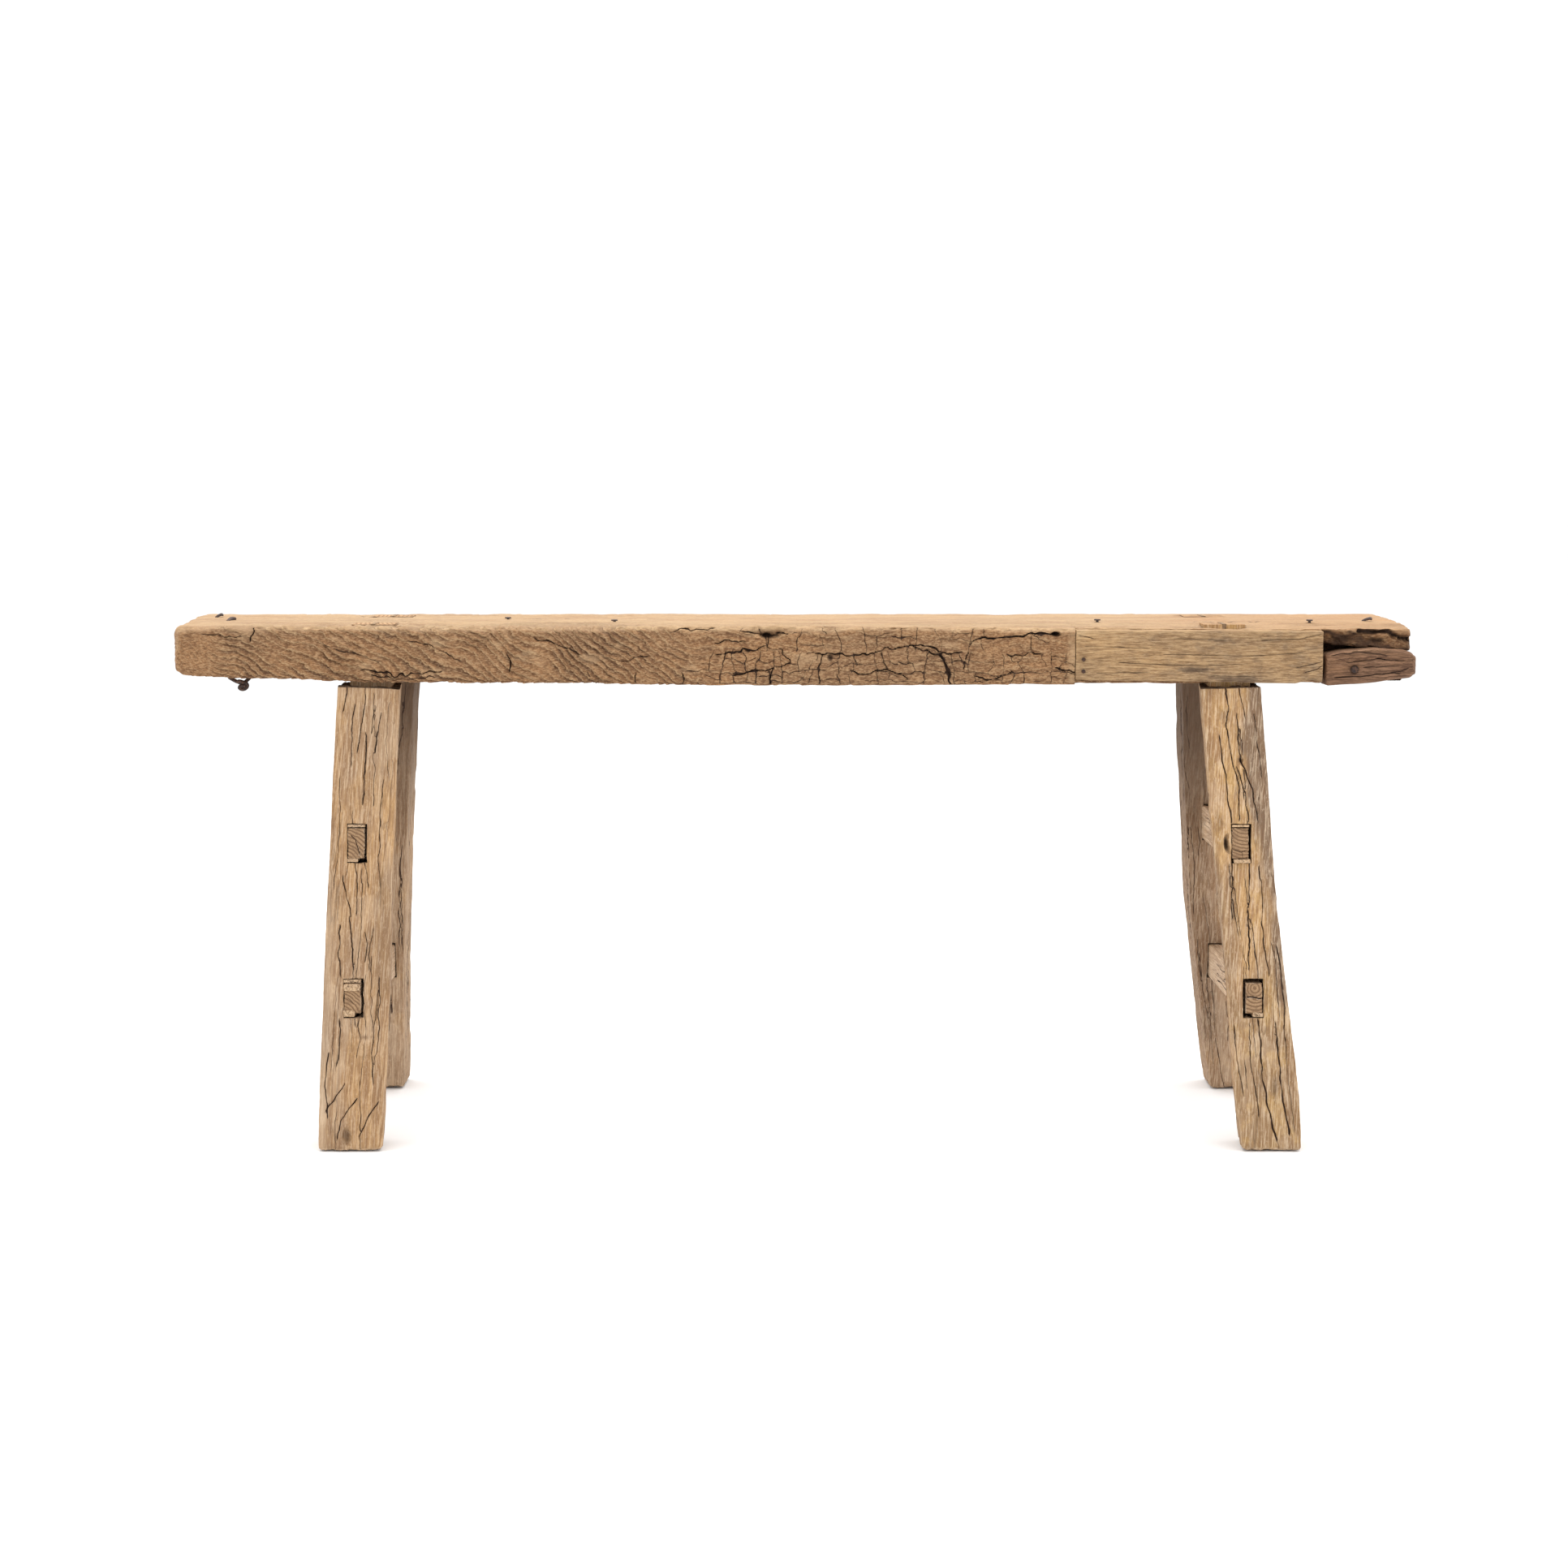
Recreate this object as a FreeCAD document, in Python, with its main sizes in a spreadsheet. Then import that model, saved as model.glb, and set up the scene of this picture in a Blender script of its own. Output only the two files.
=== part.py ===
import FreeCAD, Part
import os
import Sketcher
from FreeCAD import Placement, Rotation, Vector

# Backless timber bench: one thick plank on four splayed legs whose tenons pass through the seat,
# two stretchers tying each pair of legs, a slip and a block let into the worn front edge.
# Millimetres. +X along the seat, -Y is the front, +Z up, the feet stand on Z = 0.

os.makedirs("parts", exist_ok=True)
doc = FreeCAD.newDocument("BacklessBench")

driving = [
    ("overallLength", 1148.8, "back left corner of the seat to the end of the repair block"),
    ("seatDepth", 180, "front to back"),
    ("seatHeight", 480, "floor to seat top"),
    ("seatThickness", 54, "plank"),
    ("leftEndSkew", 11.3, "how much shorter the seat is at its front left corner"),
    ("rightEndSkew", 6.8, "how much shorter the seat is at its front right corner"),
    ("backLeftRadius", 12, "plan radius"),
    ("backRightRadius", 30, "plan radius"),
    ("frontLeftRadius", 6, "plan radius"),
    ("endRise", 8, "how far the underside is worn up at the left end"),
    ("endRiseLength", 144, "length of that worn stretch"),
    ("arrisRadius", 4, "edge all round the seat top"),
    ("leftInset", 188.5, "left end to the leg line at the shoulder"),
    ("rightInset", 169.8, "right end to the leg line at the shoulder"),
    ("legSetback", 27, "seat edge to the leg line at the shoulder"),
    ("legSpread", 55, "how far each foot steps out to the front or back"),
    ("legWidth", 58, "along the seat"),
    ("legDepth", 46, "front to back"),
    ("legRadius", 4, "long edges of a leg"),
    ("splayFrontLeft", 15.2, "how far this foot steps out sideways"),
    ("splayFrontRight", 36.5, "how far this foot steps out sideways"),
    ("splayBackLeft", 26, "how far this foot steps out sideways"),
    ("splayBackRight", 45, "how far this foot steps out sideways"),
    ("tenonWidth", 38, "leg tenon along the seat"),
    ("tenonDepth", 26, "leg tenon front to back"),
    ("jointGap", 0.15, "clearance of every tenon in its mortise, each side"),
    ("pegLength", 32, "wedge in the top of a leg tenon"),
    ("pegTop", 4, "its thickness at the seat top"),
    ("pegTip", 1.2, "its thickness at the bottom"),
    ("upperRail", 278.7, "centre of the upper stretchers at mid depth"),
    ("lowerRail", 137.3, "centre of the lower stretchers at mid depth"),
    ("railSlope", 0.022, "fall of a stretcher towards the back, per unit of run"),
    ("railWidth", 20, "stretcher along the seat"),
    ("railHeight", 34, "stretcher top to bottom"),
    ("railTenonWidth", 17.4, "through tenon along the seat"),
    ("railTenonHeight", 29.5, "through tenon top to bottom"),
    ("railShiftUpperLeft", -5, "stretcher off the middle of its two legs"),
    ("railShiftUpperRight", -5.4, "stretcher off the middle of its two legs"),
    ("railShiftLowerLeft", -1.5, "stretcher off the middle of its two legs"),
    ("railShiftLowerRight", -6.4, "stretcher off the middle of its two legs"),
    ("wedgeLength", 36, "packing wedge beside a through tenon"),
    ("wedgeTip", 1.4, "its thickness at the thin end"),
    ("wedgeTaper", 0.06, "gain in thickness per unit of length"),
    ("patchStart", 312.8, "right end to the left end of the edge slip"),
    ("patchLength", 226.5, "edge slip"),
    ("patchDepth", 12, "edge slip front to back"),
    ("patchBelow", 3.5, "how far its left end stops short of the underside"),
    ("patchTopLeft", 4, "how far its top lies under the seat top at the left"),
    ("patchTopRight", 7, "how far its top lies under the seat top at the right"),
    ("patchGap", 0.8, "open joint at the left end of the edge slip"),
    ("blockLength", 84.2, "repair block along the seat"),
    ("blockDepth", 40, "repair block front to back"),
    ("blockTop", 23, "seat top to the top of the repair block"),
    ("blockDrop", 2, "how far the block hangs below the seat at its inner end"),
    ("blockRise", 5.4, "how far its outer end is worn up above the underside"),
    ("blockRadius", 7, "rounded outer end of the repair block"),
    ("lipRecess", 8, "how far the worn lip above the block stands back"),
    ("nailShank", 2.6, "diameter of a cut nail"),
    ("nailHead", 6, "diameter of a nail head"),
    ("nailHeadThick", 1.2, "nail head"),
    ("nailLength", 30, "nail in the seat"),
    ("blockNailLength", 62, "nail through the repair block"),
    ("pinShank", 1.8, "diameter of a slip nail"),
    ("pinHead", 3.6, "diameter of a slip nail head"),
    ("pinLength", 28, "slip nail"),
    ("bentStub", 3, "leaning part of a bent nail"),
    ("wireThick", 2.3, "hook wire"),
    ("hookInset", 72, "left end of the seat to the knot of the hook"),
    ("hookSetback", 16, "front of the seat to the hook"),
    ("knotDrop", 4, "underside of the seat to the knot"),
    ("hookFall", 4, "knot to the bend"),
    ("hookRadius", 3, "middle line of the bend"),
    ("hookEndLength", 8, "straight free end"),
    ("tailLength", 22, "each tail, from the knot to its end inside the seat"),
    ("nailClearance", 0.1, "nail or wire in its hole, on the radius"),
]

sheet = doc.addObject("Spreadsheet::Sheet", "Sizes")
for row, (alias, value, note) in enumerate(driving, start=1):
    sheet.set(f"A{row}", note)
    sheet.set(f"B{row}", str(value))
    sheet.setAlias(f"B{row}", alias)
doc.recompute()
aliases = sorted((alias for alias, _, _ in driving), key=len, reverse=True)


def bound(formula):
    """The same formula with every size name pointing at the sheet."""
    out, word = "", ""
    for char in formula + " ":
        if char.isalnum():
            word += char
            continue
        out += ("Sizes." + word if word in aliases else word) + char
        word = ""
    return out.strip()


def number(formula):
    """Today's value of a formula."""
    return float(sheet.evalExpression(bound(formula)))


def bind(item, **formulas):
    for name, formula in formulas.items():
        item.setExpression(name, bound(formula))


def bindPlace(item, x="0", y="0", z="0"):
    for axis, formula in zip("xyz", (x, y, z)):
        item.setExpression("Placement.Base." + axis, bound(formula))


def part(kind, label, **links):
    item = doc.addObject(kind, label)
    item.Label = label
    for name, value in links.items():
        setattr(item, name, value)
    return item


def box(label, x, y, z):
    """Box over three (low, high) pairs of formulas."""
    item = part("Part::Box", label)
    bind(item, Length=f"{x[1]} - ({x[0]})", Width=f"{y[1]} - ({y[0]})", Height=f"{z[1]} - ({z[0]})")
    bindPlace(item, x[0], y[0], z[0])
    return item


def upright(label, low, high, foot, head):
    """Block with level ends at heights low and high; foot and head are (x0, x1, y0, y1)."""
    item = part("Part::Wedge", label)
    item.Placement = Placement(Vector(), Rotation(Vector(1, 0, 0), 90))   # local y up, local z to the front
    bind(item, Ymin=low, Ymax=high, Xmin=foot[0], Xmax=foot[1], Zmin=f"-({foot[3]})", Zmax=f"-({foot[2]})",
         X2min=head[0], X2max=head[1], Z2min=f"-({head[3]})", Z2max=f"-({head[2]})")
    return item


def crosswise(label, front, back, near, far):
    """Block running front to back; near and far are (x0, x1, z0, z1) at y = front and y = back."""
    item = part("Part::Wedge", label)
    bind(item, Ymin=front, Ymax=back, Xmin=near[0], Xmax=near[1], Zmin=near[2], Zmax=near[3],
         X2min=far[0], X2max=far[1], Z2min=far[2], Z2max=far[3])
    return item


def rod(label, radius, length, x, y, z, turn=Rotation()):
    item = part("Part::Cylinder", label)
    item.Placement = Placement(Vector(), turn)
    bind(item, Radius=radius, Height=length)
    bindPlace(item, x, y, z)
    return item


def fused(label, pieces):
    return part("Part::MultiFuse", label, Shapes=pieces)


def common(label, base, tool):
    return part("Part::Common", label, Base=base, Tool=tool)


def cut(label, base, tools):
    tool = tools[0] if len(tools) == 1 else fused(label + "Tools", tools)
    item = part("Part::Cut", label, Base=base, Tool=tool)
    doc.recompute()
    if not item.Shape.Volume < base.Shape.Volume:
        raise RuntimeError(label + " lost nothing to its cut")
    return item


def planeOf(body, role):
    return next(item for item in body.Origin.OriginFeatures if item.Role == role)


def outline(body, name, role, corners, height="0"):
    """Closed straight-sided sketch on one of the body's own planes, each corner a pair of formulas."""
    sketch = body.newObject("Sketcher::SketchObject", name)
    sketch.AttachmentSupport = (planeOf(body, role), [""])
    sketch.MapMode = "FlatFace"
    sketch.setExpression("AttachmentOffset.Base.z", bound(height))
    points = [Vector(number(u), number(v), 0) for u, v in corners]
    for index, start in enumerate(points):
        sketch.addGeometry(Part.LineSegment(start, points[(index + 1) % len(points)]), False)
    for index in range(len(points)):
        sketch.addConstraint(Sketcher.Constraint("Coincident", index, 2, (index + 1) % len(points), 1))
    for index, (u, v) in enumerate(corners):
        for axis, formula in (("DistanceX", u), ("DistanceY", v)):
            place = sketch.addConstraint(Sketcher.Constraint(axis, -1, 1, index, 1, number(formula)))
            name = f"{axis[-1].lower()}{index}"
            sketch.renameConstraint(place, name)
            sketch.setExpression("Constraints." + name, bound(formula))
    return sketch


def padded(body, sketch, length, **settings):
    pad = body.newObject("PartDesign::Pad", sketch.Name + "Pad")
    pad.Profile = sketch
    for name, value in settings.items():
        setattr(pad, name, value)
    bind(pad, Length=length)
    doc.recompute()
    return pad


def rounded(body, feature, radius, chosen):
    """Fillet on the body's edges that the test picks."""
    names = [f"Edge{index}" for index, edge in enumerate(feature.Shape.Edges, start=1) if chosen(edge)]
    fillet = body.newObject("PartDesign::Fillet", feature.Name + "Round")
    fillet.Base = (feature, names)
    bind(fillet, Radius=radius)
    doc.recompute()
    return fillet


def alongAxis(edge, axis):
    return abs(edge.tangentAt(edge.FirstParameter).dot(axis)) > 0.99 and edge.Curve.TypeId == "Part::GeomLine"


def near(edge, **place):
    middle = edge.CenterOfMass
    return all(abs(getattr(middle, axis) - value) < 1 for axis, value in place.items())


# --- lines that the pieces share ---
underside = "(seatHeight - seatThickness)"
front, back = "(-seatDepth/2)", "(seatDepth/2)"
leftEnd, rightEnd = "(-overallLength/2)", "(overallLength/2)"

corners = {                      # side, front or back, sideways step of the foot
    "front_left": (-1, -1, "splayFrontLeft"),
    "front_right": (1, -1, "splayFrontRight"),
    "back_left": (-1, 1, "splayBackLeft"),
    "back_right": (1, 1, "splayBackRight"),
}


def legX(corner, height):
    side, _, splay = corners[corner]
    shoulder = f"({leftEnd} + leftInset)" if side < 0 else f"({rightEnd} - rightInset)"
    return f"({shoulder} + ({side})*{splay}*(1 - ({height})/{underside}))"


def legY(end, height):
    """Leg line in depth, for end -1 (front) or 1 (back)."""
    return f"(({end})*(seatDepth/2 - legSetback + legSpread*(1 - ({height})/{underside})))"


def legSection(corner, height, width, depth):
    end = corners[corner][1]
    x, y = legX(corner, height), legY(end, height)
    return (f"{x} - ({width})/2", f"{x} + ({width})/2", f"{y} - ({depth})/2", f"{y} + ({depth})/2")


# --- stretchers, their wedges and the mortises they need ---
reach = "(seatDepth/2 - legSetback + legSpread + legDepth/2 + 5)"     # a little past the feet
rails = {                        # centre height, side, shift, wedge above (1) or below (-1) at front, back
    "upper_stretcher_left": ("upperRail", "left", "railShiftUpperLeft", (1, 1)),
    "upper_stretcher_right": ("upperRail", "right", "railShiftUpperRight", (-1, 1)),
    "lower_stretcher_left": ("lowerRail", "left", "railShiftLowerLeft", (1, -1)),
    "lower_stretcher_right": ("lowerRail", "right", "railShiftLowerRight", (-1, 1)),
}
mortises = {corner: [] for corner in corners}


def railBar(label, x, height, width, tall):
    def section(y):
        middle = f"({height} - railSlope*({y}))"
        return (f"{x} - ({width})/2", f"{x} + ({width})/2", f"{middle} - ({tall})/2", f"{middle} + ({tall})/2")
    return crosswise(label, f"-{reach}", reach, section(f"-{reach}"), section(reach))


def betweenLegs(label, x, outside):
    """Everything between the outer faces of the two legs, or between their inner faces."""
    half = f"({outside})*legDepth/2"
    def section(height):
        return (f"{x} - legWidth", f"{x} + legWidth",
                f"{legY(-1, height)} - {half}", f"{legY(1, height)} + {half}")
    return upright(label, "0", underside, section("0"), section(underside))


for name, (height, side, shift, packing) in rails.items():
    x = f"(({legX('front_' + side, height)} + {legX('back_' + side, height)})/2 + {shift})"
    shoulders = common(name + "Middle", railBar(name + "Bar", x, height, "railWidth", "railHeight"),
                       betweenLegs(name + "Inside", x, -1))
    within = betweenLegs(name + "Through", x, 1)
    tenons = common(name + "Tenons", railBar(name + "TenonBar", x, height, "railTenonWidth", "railTenonHeight"),
                    within)
    fused(name, [shoulders, tenons])
    room = railBar(name + "Room", x, height, "railTenonWidth + 2*jointGap", "railTenonHeight + 2*jointGap")
    for end, up in zip((-1, 1), packing):
        where = ("front_" if end < 0 else "back_") + side
        tip = f"({legY(end, height)} + ({end})*(legDepth/2 - wedgeLength))"
        mouth = f"(({end})*{reach})"
        def section(y, thick):
            flat = f"({height} - railSlope*({y}) + ({up})*railTenonHeight/2)"
            low, high = (flat, f"{flat} + {thick}") if up > 0 else (f"{flat} - {thick}", flat)
            return (f"{x} - railTenonWidth/2", f"{x} + railTenonWidth/2", low, high)
        thin = section(tip, "wedgeTip")
        thick = section(mouth, f"(wedgeTip + wedgeTaper*({reach} - ({end})*{tip}))")
        spans = (mouth, tip, thick, thin) if end < 0 else (tip, mouth, thin, thick)
        label = name.replace("stretcher", "wedge") + ("_front" if end < 0 else "_back")
        driver = crosswise(label + "Bar", *spans)
        common(label, driver, within)
        mortises[where] += [room, driver]

# --- legs, with the wedge that spreads each tenon in the seat ---
seatMortises = []
for corner in corners:
    label = "leg_" + corner
    shank = upright(label + "Shank", "0", underside, legSection(corner, "0", "legWidth", "legDepth"),
                    legSection(corner, underside, "legWidth", "legDepth"))
    doc.recompute()
    soft = part("Part::Fillet", label + "Soft", Base=shank)
    upEdges = [index for index, edge in enumerate(shank.Shape.Edges, start=1)
               if abs(edge.tangentAt(edge.FirstParameter).z) > 0.5]
    soft.Edges = [(index, sheet.legRadius, sheet.legRadius) for index in upEdges]

    def neck(name, gap):
        return upright(name, underside, "seatHeight",
                       legSection(corner, underside, f"tenonWidth + 2*{gap}", f"tenonDepth + 2*{gap}"),
                       legSection(corner, "seatHeight", f"tenonWidth + 2*{gap}", f"tenonDepth + 2*{gap}"))
    seatMortises.append(neck(label + "Mortise", "jointGap"))
    peg = upright("peg_" + corner, "(seatHeight - pegLength)", "seatHeight",
                  legSection(corner, "(seatHeight - pegLength)", "pegTip", "tenonDepth"),
                  legSection(corner, "seatHeight", "pegTop", "tenonDepth"))
    cut(label, fused(label + "Blank", [soft, neck(label + "Tenon", "0")]), mortises[corner] + [peg])

# --- nails in the seat top: inset from the left end, place in depth ---
straightNails = [(306.6, 9.8), (410, -25.2), (863.4, -19.4), (1061.7, -25.2)]
bentNails = [(25.4, 39.7, 50), (46.4, -7.8, -35), (1119.2, -7.8, 62)]      # last value: lean in degrees
nailHoles, shanks = [], []


def nailHole(label, radius, length, x, y, z, turn=Rotation()):
    return rod(label, f"{radius} + nailClearance", length, x, y, z, turn)


for index, (inset, y) in enumerate(straightNails):
    x, tip = f"{leftEnd} + {inset}", "seatHeight - nailLength"
    shank = rod(f"nailShank{index}", "nailShank/2", "nailLength", x, str(y), tip)
    head = rod(f"nailHead{index}", "nailHead/2", "nailHeadThick", x, str(y), "seatHeight")
    shanks.append(fused(f"nail{index}", [shank, head]))
    nailHoles.append(nailHole(f"nailHole{index}", "nailShank/2", "nailLength", x, str(y), tip))
part("Part::Compound", "seat_nails", Links=shanks)

shanks, kneeZ = [], "seatHeight + nailShank*0.6"
for index, (inset, y, lean) in enumerate(bentNails):
    x, tip = f"{leftEnd} + {inset}", "seatHeight - nailLength"
    tilt = Rotation(Vector(0, 1, 0), lean)
    axis = tilt.multVec(Vector(0, 0, 1))
    shank = rod(f"bentShank{index}", "nailShank/2", "nailLength + nailShank/2", x, str(y), tip)
    stub = rod(f"bentStub{index}", "nailShank/2", "bentStub", x, str(y), kneeZ, tilt)
    knee = part("Part::Sphere", f"bentKnee{index}")
    bind(knee, Radius="nailShank/2")
    bindPlace(knee, x, str(y), kneeZ)
    head = rod(f"bentHead{index}", "nailHead/2", "nailHeadThick", f"{x} + ({axis.x})*bentStub", str(y),
               f"{kneeZ} + ({axis.z})*bentStub", tilt)
    shanks.append(fused(f"bentNail{index}", [shank, knee, stub, head]))
    nailHoles.append(nailHole(f"bentHole{index}", "nailShank/2", "nailLength + 1", x, str(y), tip))
part("Part::Compound", "bent_nails", Links=shanks)

# --- slip let into the front edge, and its two nails ---
intoFront = Rotation(Vector(1, 0, 0), -90)      # a rod's own axis turned to +Y
patchLeft = f"({rightEnd} - patchStart)"
patchRight = f"({patchLeft} + patchLength)"
patchBack = f"({front} + patchDepth)"
slip = part("PartDesign::Body", "edgeSlip")
slipOutline = outline(slip, "slipOutline", "XZ_Plane",
                      [(patchLeft, f"{underside} + patchBelow"), (patchRight, f"{underside}"),
                       (patchRight, "seatHeight - patchTopRight"), (patchLeft, "seatHeight - patchTopLeft")],
                      height="seatDepth/2 - patchDepth")
padded(slip, slipOutline, "patchDepth")
pins, pinHoles = [], []
for index, height in enumerate((449, 438)):
    x = f"{patchLeft} + 7"
    z = f"seatHeight - {480 - height}"
    shank = rod(f"pinShank{index}", "pinShank/2", "pinLength", x, front, z, intoFront)
    head = rod(f"pinHead{index}", "pinHead/2", "0.8", x, f"{front} - 0.8", z, intoFront)
    pins.append(fused(f"pin{index}", [shank, head]))
    pinHoles.append(nailHole(f"pinHole{index}", "pinShank/2", "pinLength + 1", x, front, z, intoFront))
part("Part::Compound", "slip_nails", Links=pins)
cut("edge_slip", slip, pinHoles)

# --- repair block under the worn lip at the right end, and its nail ---
blockLeft = f"({rightEnd} - blockLength)"
blockBack = f"({front} + blockDepth)"
blockCeiling = "(seatHeight - blockTop)"
corner = part("PartDesign::Body", "cornerBlock")
blockOutline = outline(corner, "blockOutline", "XZ_Plane",
                       [(blockLeft, f"{underside} - blockDrop"), (rightEnd, f"{underside} + blockRise"),
                        (rightEnd, blockCeiling), (blockLeft, blockCeiling)],
                       height="seatDepth/2 - blockDepth")
blockPad = padded(corner, blockOutline, "blockDepth")
acrossY = Vector(0, 1, 0)
rounded(corner, blockPad, "blockRadius",
        lambda edge: alongAxis(edge, acrossY) and abs(edge.CenterOfMass.x - number(rightEnd)) < 0.5)
nailX, nailZ = f"{blockLeft} + 26.4", "seatHeight - 40.4"
blockNailHole = nailHole("blockNailHole", "nailShank/2", "blockNailLength", nailX, front, nailZ, intoFront)
cut("end_repair_block", corner, [blockNailHole])
nailBack = f"{front} - nailHeadThick"
fused("block_nail", [rod("blockNailShank", "nailShank/2", "blockNailLength", nailX, front, nailZ, intoFront),
                     rod("blockNailHead", "nailHead/2", "nailHeadThick", nailX, nailBack, nailZ, intoFront)])

# --- wire hook under the left end: two tails driven into the seat, twisted at a knot, and an open hook ---
hookX, hookY = f"({leftEnd} + hookInset)", f"({front} + hookSetback)"
hookRise = f"({underside} + endRise*(1 - hookInset/endRiseLength))"     # underside of the seat at the hook
knotZ = f"({hookRise} - knotDrop)"


def wire(label, lean, length, x, z):
    """Straight wire from a point, leaning from upright towards +X by an angle in degrees."""
    return rod(label, "wireThick/2", length, x, hookY, z, Rotation(Vector(0, 1, 0), lean))


def ball(label, x, z):
    item = part("Part::Sphere", label)
    bind(item, Radius="wireThick/2")
    bindPlace(item, x, hookY, z)
    return item


tailLeans, hookTurn = (-62, 48), 125              # degrees
turned = Rotation(Vector(0, 1, 0), hookTurn)
loopX, loopZ = f"({hookX} + 2 - hookRadius)", f"({knotZ} - hookFall)"
tails = [wire(f"hookTail{lean}", lean, "tailLength", hookX, knotZ) for lean in tailLeans]
fall = rod("hookFallRod", "wireThick/2", "hookFall", f"{hookX} + 2", hookY, loopZ)
bend = part("Part::Torus", "hookBend")
bend.Placement = Placement(Vector(), turned.multiply(Rotation(Vector(1, 0, 0), 90)))
bind(bend, Radius1="hookRadius", Radius2="wireThick/2", Angle3=str(hookTurn))
bindPlace(bend, loopX, hookY, loopZ)
arm = turned.multVec(Vector(1, 0, 0))             # from the middle of the bend to where it ends
endX, endZ = f"{loopX} + ({arm.x})*hookRadius", f"{loopZ} + ({arm.z})*hookRadius"
free = wire("hookEnd", hookTurn - 180, "hookEndLength", endX, endZ)
fused("wire_hook", tails + [ball("hookKnot", hookX, knotZ), fall, bend, free,
                            rod("hookKnotBar", "wireThick*0.8", "hookFall*0.6", f"{hookX} + 1", hookY,
                                f"{knotZ} - hookFall*0.4")])
hookHoles = [rod(f"hookHole{lean}", "wireThick/2 + nailClearance", "tailLength + 0.5", hookX, hookY, knotZ,
                 Rotation(Vector(0, 1, 0), lean)) for lean in tailLeans]

# --- seat plank ---
plank = part("PartDesign::Body", "plank")
plankOutline = outline(plank, "plankOutline", "XY_Plane",
                       [(f"{leftEnd} + leftEndSkew", front), (f"{rightEnd} - rightEndSkew", front),
                        (rightEnd, back), (leftEnd, back)], height=underside)
plankPad = padded(plank, plankOutline, "seatThickness")
wornEnd = outline(plank, "wornEnd", "XZ_Plane",
                  [(f"{leftEnd} - 1", f"{underside} - 1"), (f"{leftEnd} + endRiseLength", f"{underside} - 1"),
                   (f"{leftEnd} + endRiseLength", underside), (f"{leftEnd} - 1", f"{underside} + endRise")])
worn = plank.newObject("PartDesign::Pocket", "wornEndCut")
worn.Profile = wornEnd
worn.Type = "ThroughAll"
worn.Midplane = True
doc.recompute()
if not worn.Shape.Volume < plankPad.Shape.Volume:
    raise RuntimeError("the worn end lost nothing")
upAxis, alongX = Vector(0, 0, 1), Vector(1, 0, 0)
leftX, rightX, frontY, backY = (number(formula) for formula in (leftEnd, rightEnd, front, back))
feature = worn
for radius, x, y in (("backLeftRadius", leftX, backY), ("backRightRadius", rightX, backY),
                     ("frontLeftRadius", leftX + sheet.leftEndSkew, frontY)):
    feature = rounded(plank, feature, radius,
                      lambda edge: alongAxis(edge, upAxis) and near(edge, x=x, y=y))
rounded(plank, feature, "arrisRadius",                       # runs on round the corners, the whole top edge
        lambda edge: alongAxis(edge, alongX) and near(edge, y=frontY, z=sheet.seatHeight))

patchRoom = box("patchRoom", (f"{patchLeft} - patchGap", patchRight), (f"{front} - 1", patchBack),
                (f"{underside} - 1", "seatHeight + 1"))
blockRoom = box("blockRoom", (patchRight, f"{rightEnd} + 1"), (f"{front} - 1", blockBack),
                (f"{underside} - 1", blockCeiling))
lipRoom = box("lipRoom", (patchRight, f"{rightEnd} + 1"), (f"{front} - 1", f"{front} + lipRecess"),
              (f"{underside} - 1", "seatHeight + 1"))
cut("seat_plank", plank, seatMortises + nailHoles + pinHoles + [blockNailHole] + hookHoles
    + [patchRoom, blockRoom, lipRoom])

# --- check every object, then write the pieces ---
pieces = (["seat_plank", "edge_slip", "end_repair_block", "wire_hook", "seat_nails", "bent_nails", "slip_nails",
           "block_nail"]
          + ["leg_" + corner for corner in corners] + ["peg_" + corner for corner in corners] + list(rails)
          + [name.replace("stretcher", "wedge") + end for name in rails for end in ("_front", "_back")])
doc.recompute()
for item in doc.Objects:
    if "Invalid" in item.State or "Error" in item.State:
        raise RuntimeError(f"{item.Label} failed: {item.State}")
for name in pieces:
    shape = doc.getObject(name).Shape
    if shape.isNull() or not shape.isValid():
        raise RuntimeError(name + " has no valid shape")
    shape.exportStep(f"parts/{name}.step")
    print(f"{name:28s} {len(shape.Solids)} solid(s) {shape.Volume / 1000:10.2f} cm3")
print(len(pieces), "pieces")
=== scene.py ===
import math
import random

import bpy
import numpy as np
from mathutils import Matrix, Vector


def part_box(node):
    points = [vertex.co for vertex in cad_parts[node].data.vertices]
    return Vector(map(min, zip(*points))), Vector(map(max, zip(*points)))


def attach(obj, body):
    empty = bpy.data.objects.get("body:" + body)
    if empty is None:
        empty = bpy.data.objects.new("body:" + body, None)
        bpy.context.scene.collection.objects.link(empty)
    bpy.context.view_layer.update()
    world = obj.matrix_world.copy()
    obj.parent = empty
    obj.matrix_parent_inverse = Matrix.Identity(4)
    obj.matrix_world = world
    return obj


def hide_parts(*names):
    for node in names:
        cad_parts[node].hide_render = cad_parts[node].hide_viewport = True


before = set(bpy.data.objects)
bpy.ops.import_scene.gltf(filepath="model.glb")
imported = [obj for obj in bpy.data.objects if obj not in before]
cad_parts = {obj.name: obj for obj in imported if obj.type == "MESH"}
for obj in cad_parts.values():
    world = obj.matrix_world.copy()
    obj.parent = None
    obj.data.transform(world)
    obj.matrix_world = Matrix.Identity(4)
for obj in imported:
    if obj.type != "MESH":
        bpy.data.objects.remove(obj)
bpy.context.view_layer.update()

mm = 0.001

# Weathered timber bench. Every wooden piece is a finely divided block that is worn, split and
# chipped by moving its points, in millimetres, then cut for its joints.

undersideZ, topZ = 426, 480      # underside and top of the seat
shoulderY, footStep = 86, 55     # outer face of a leg under the seat, and how much further out its foot is
legDepth = 46
railTilt = 0.022                 # fall of a stretcher towards the back, per unit of run

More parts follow.
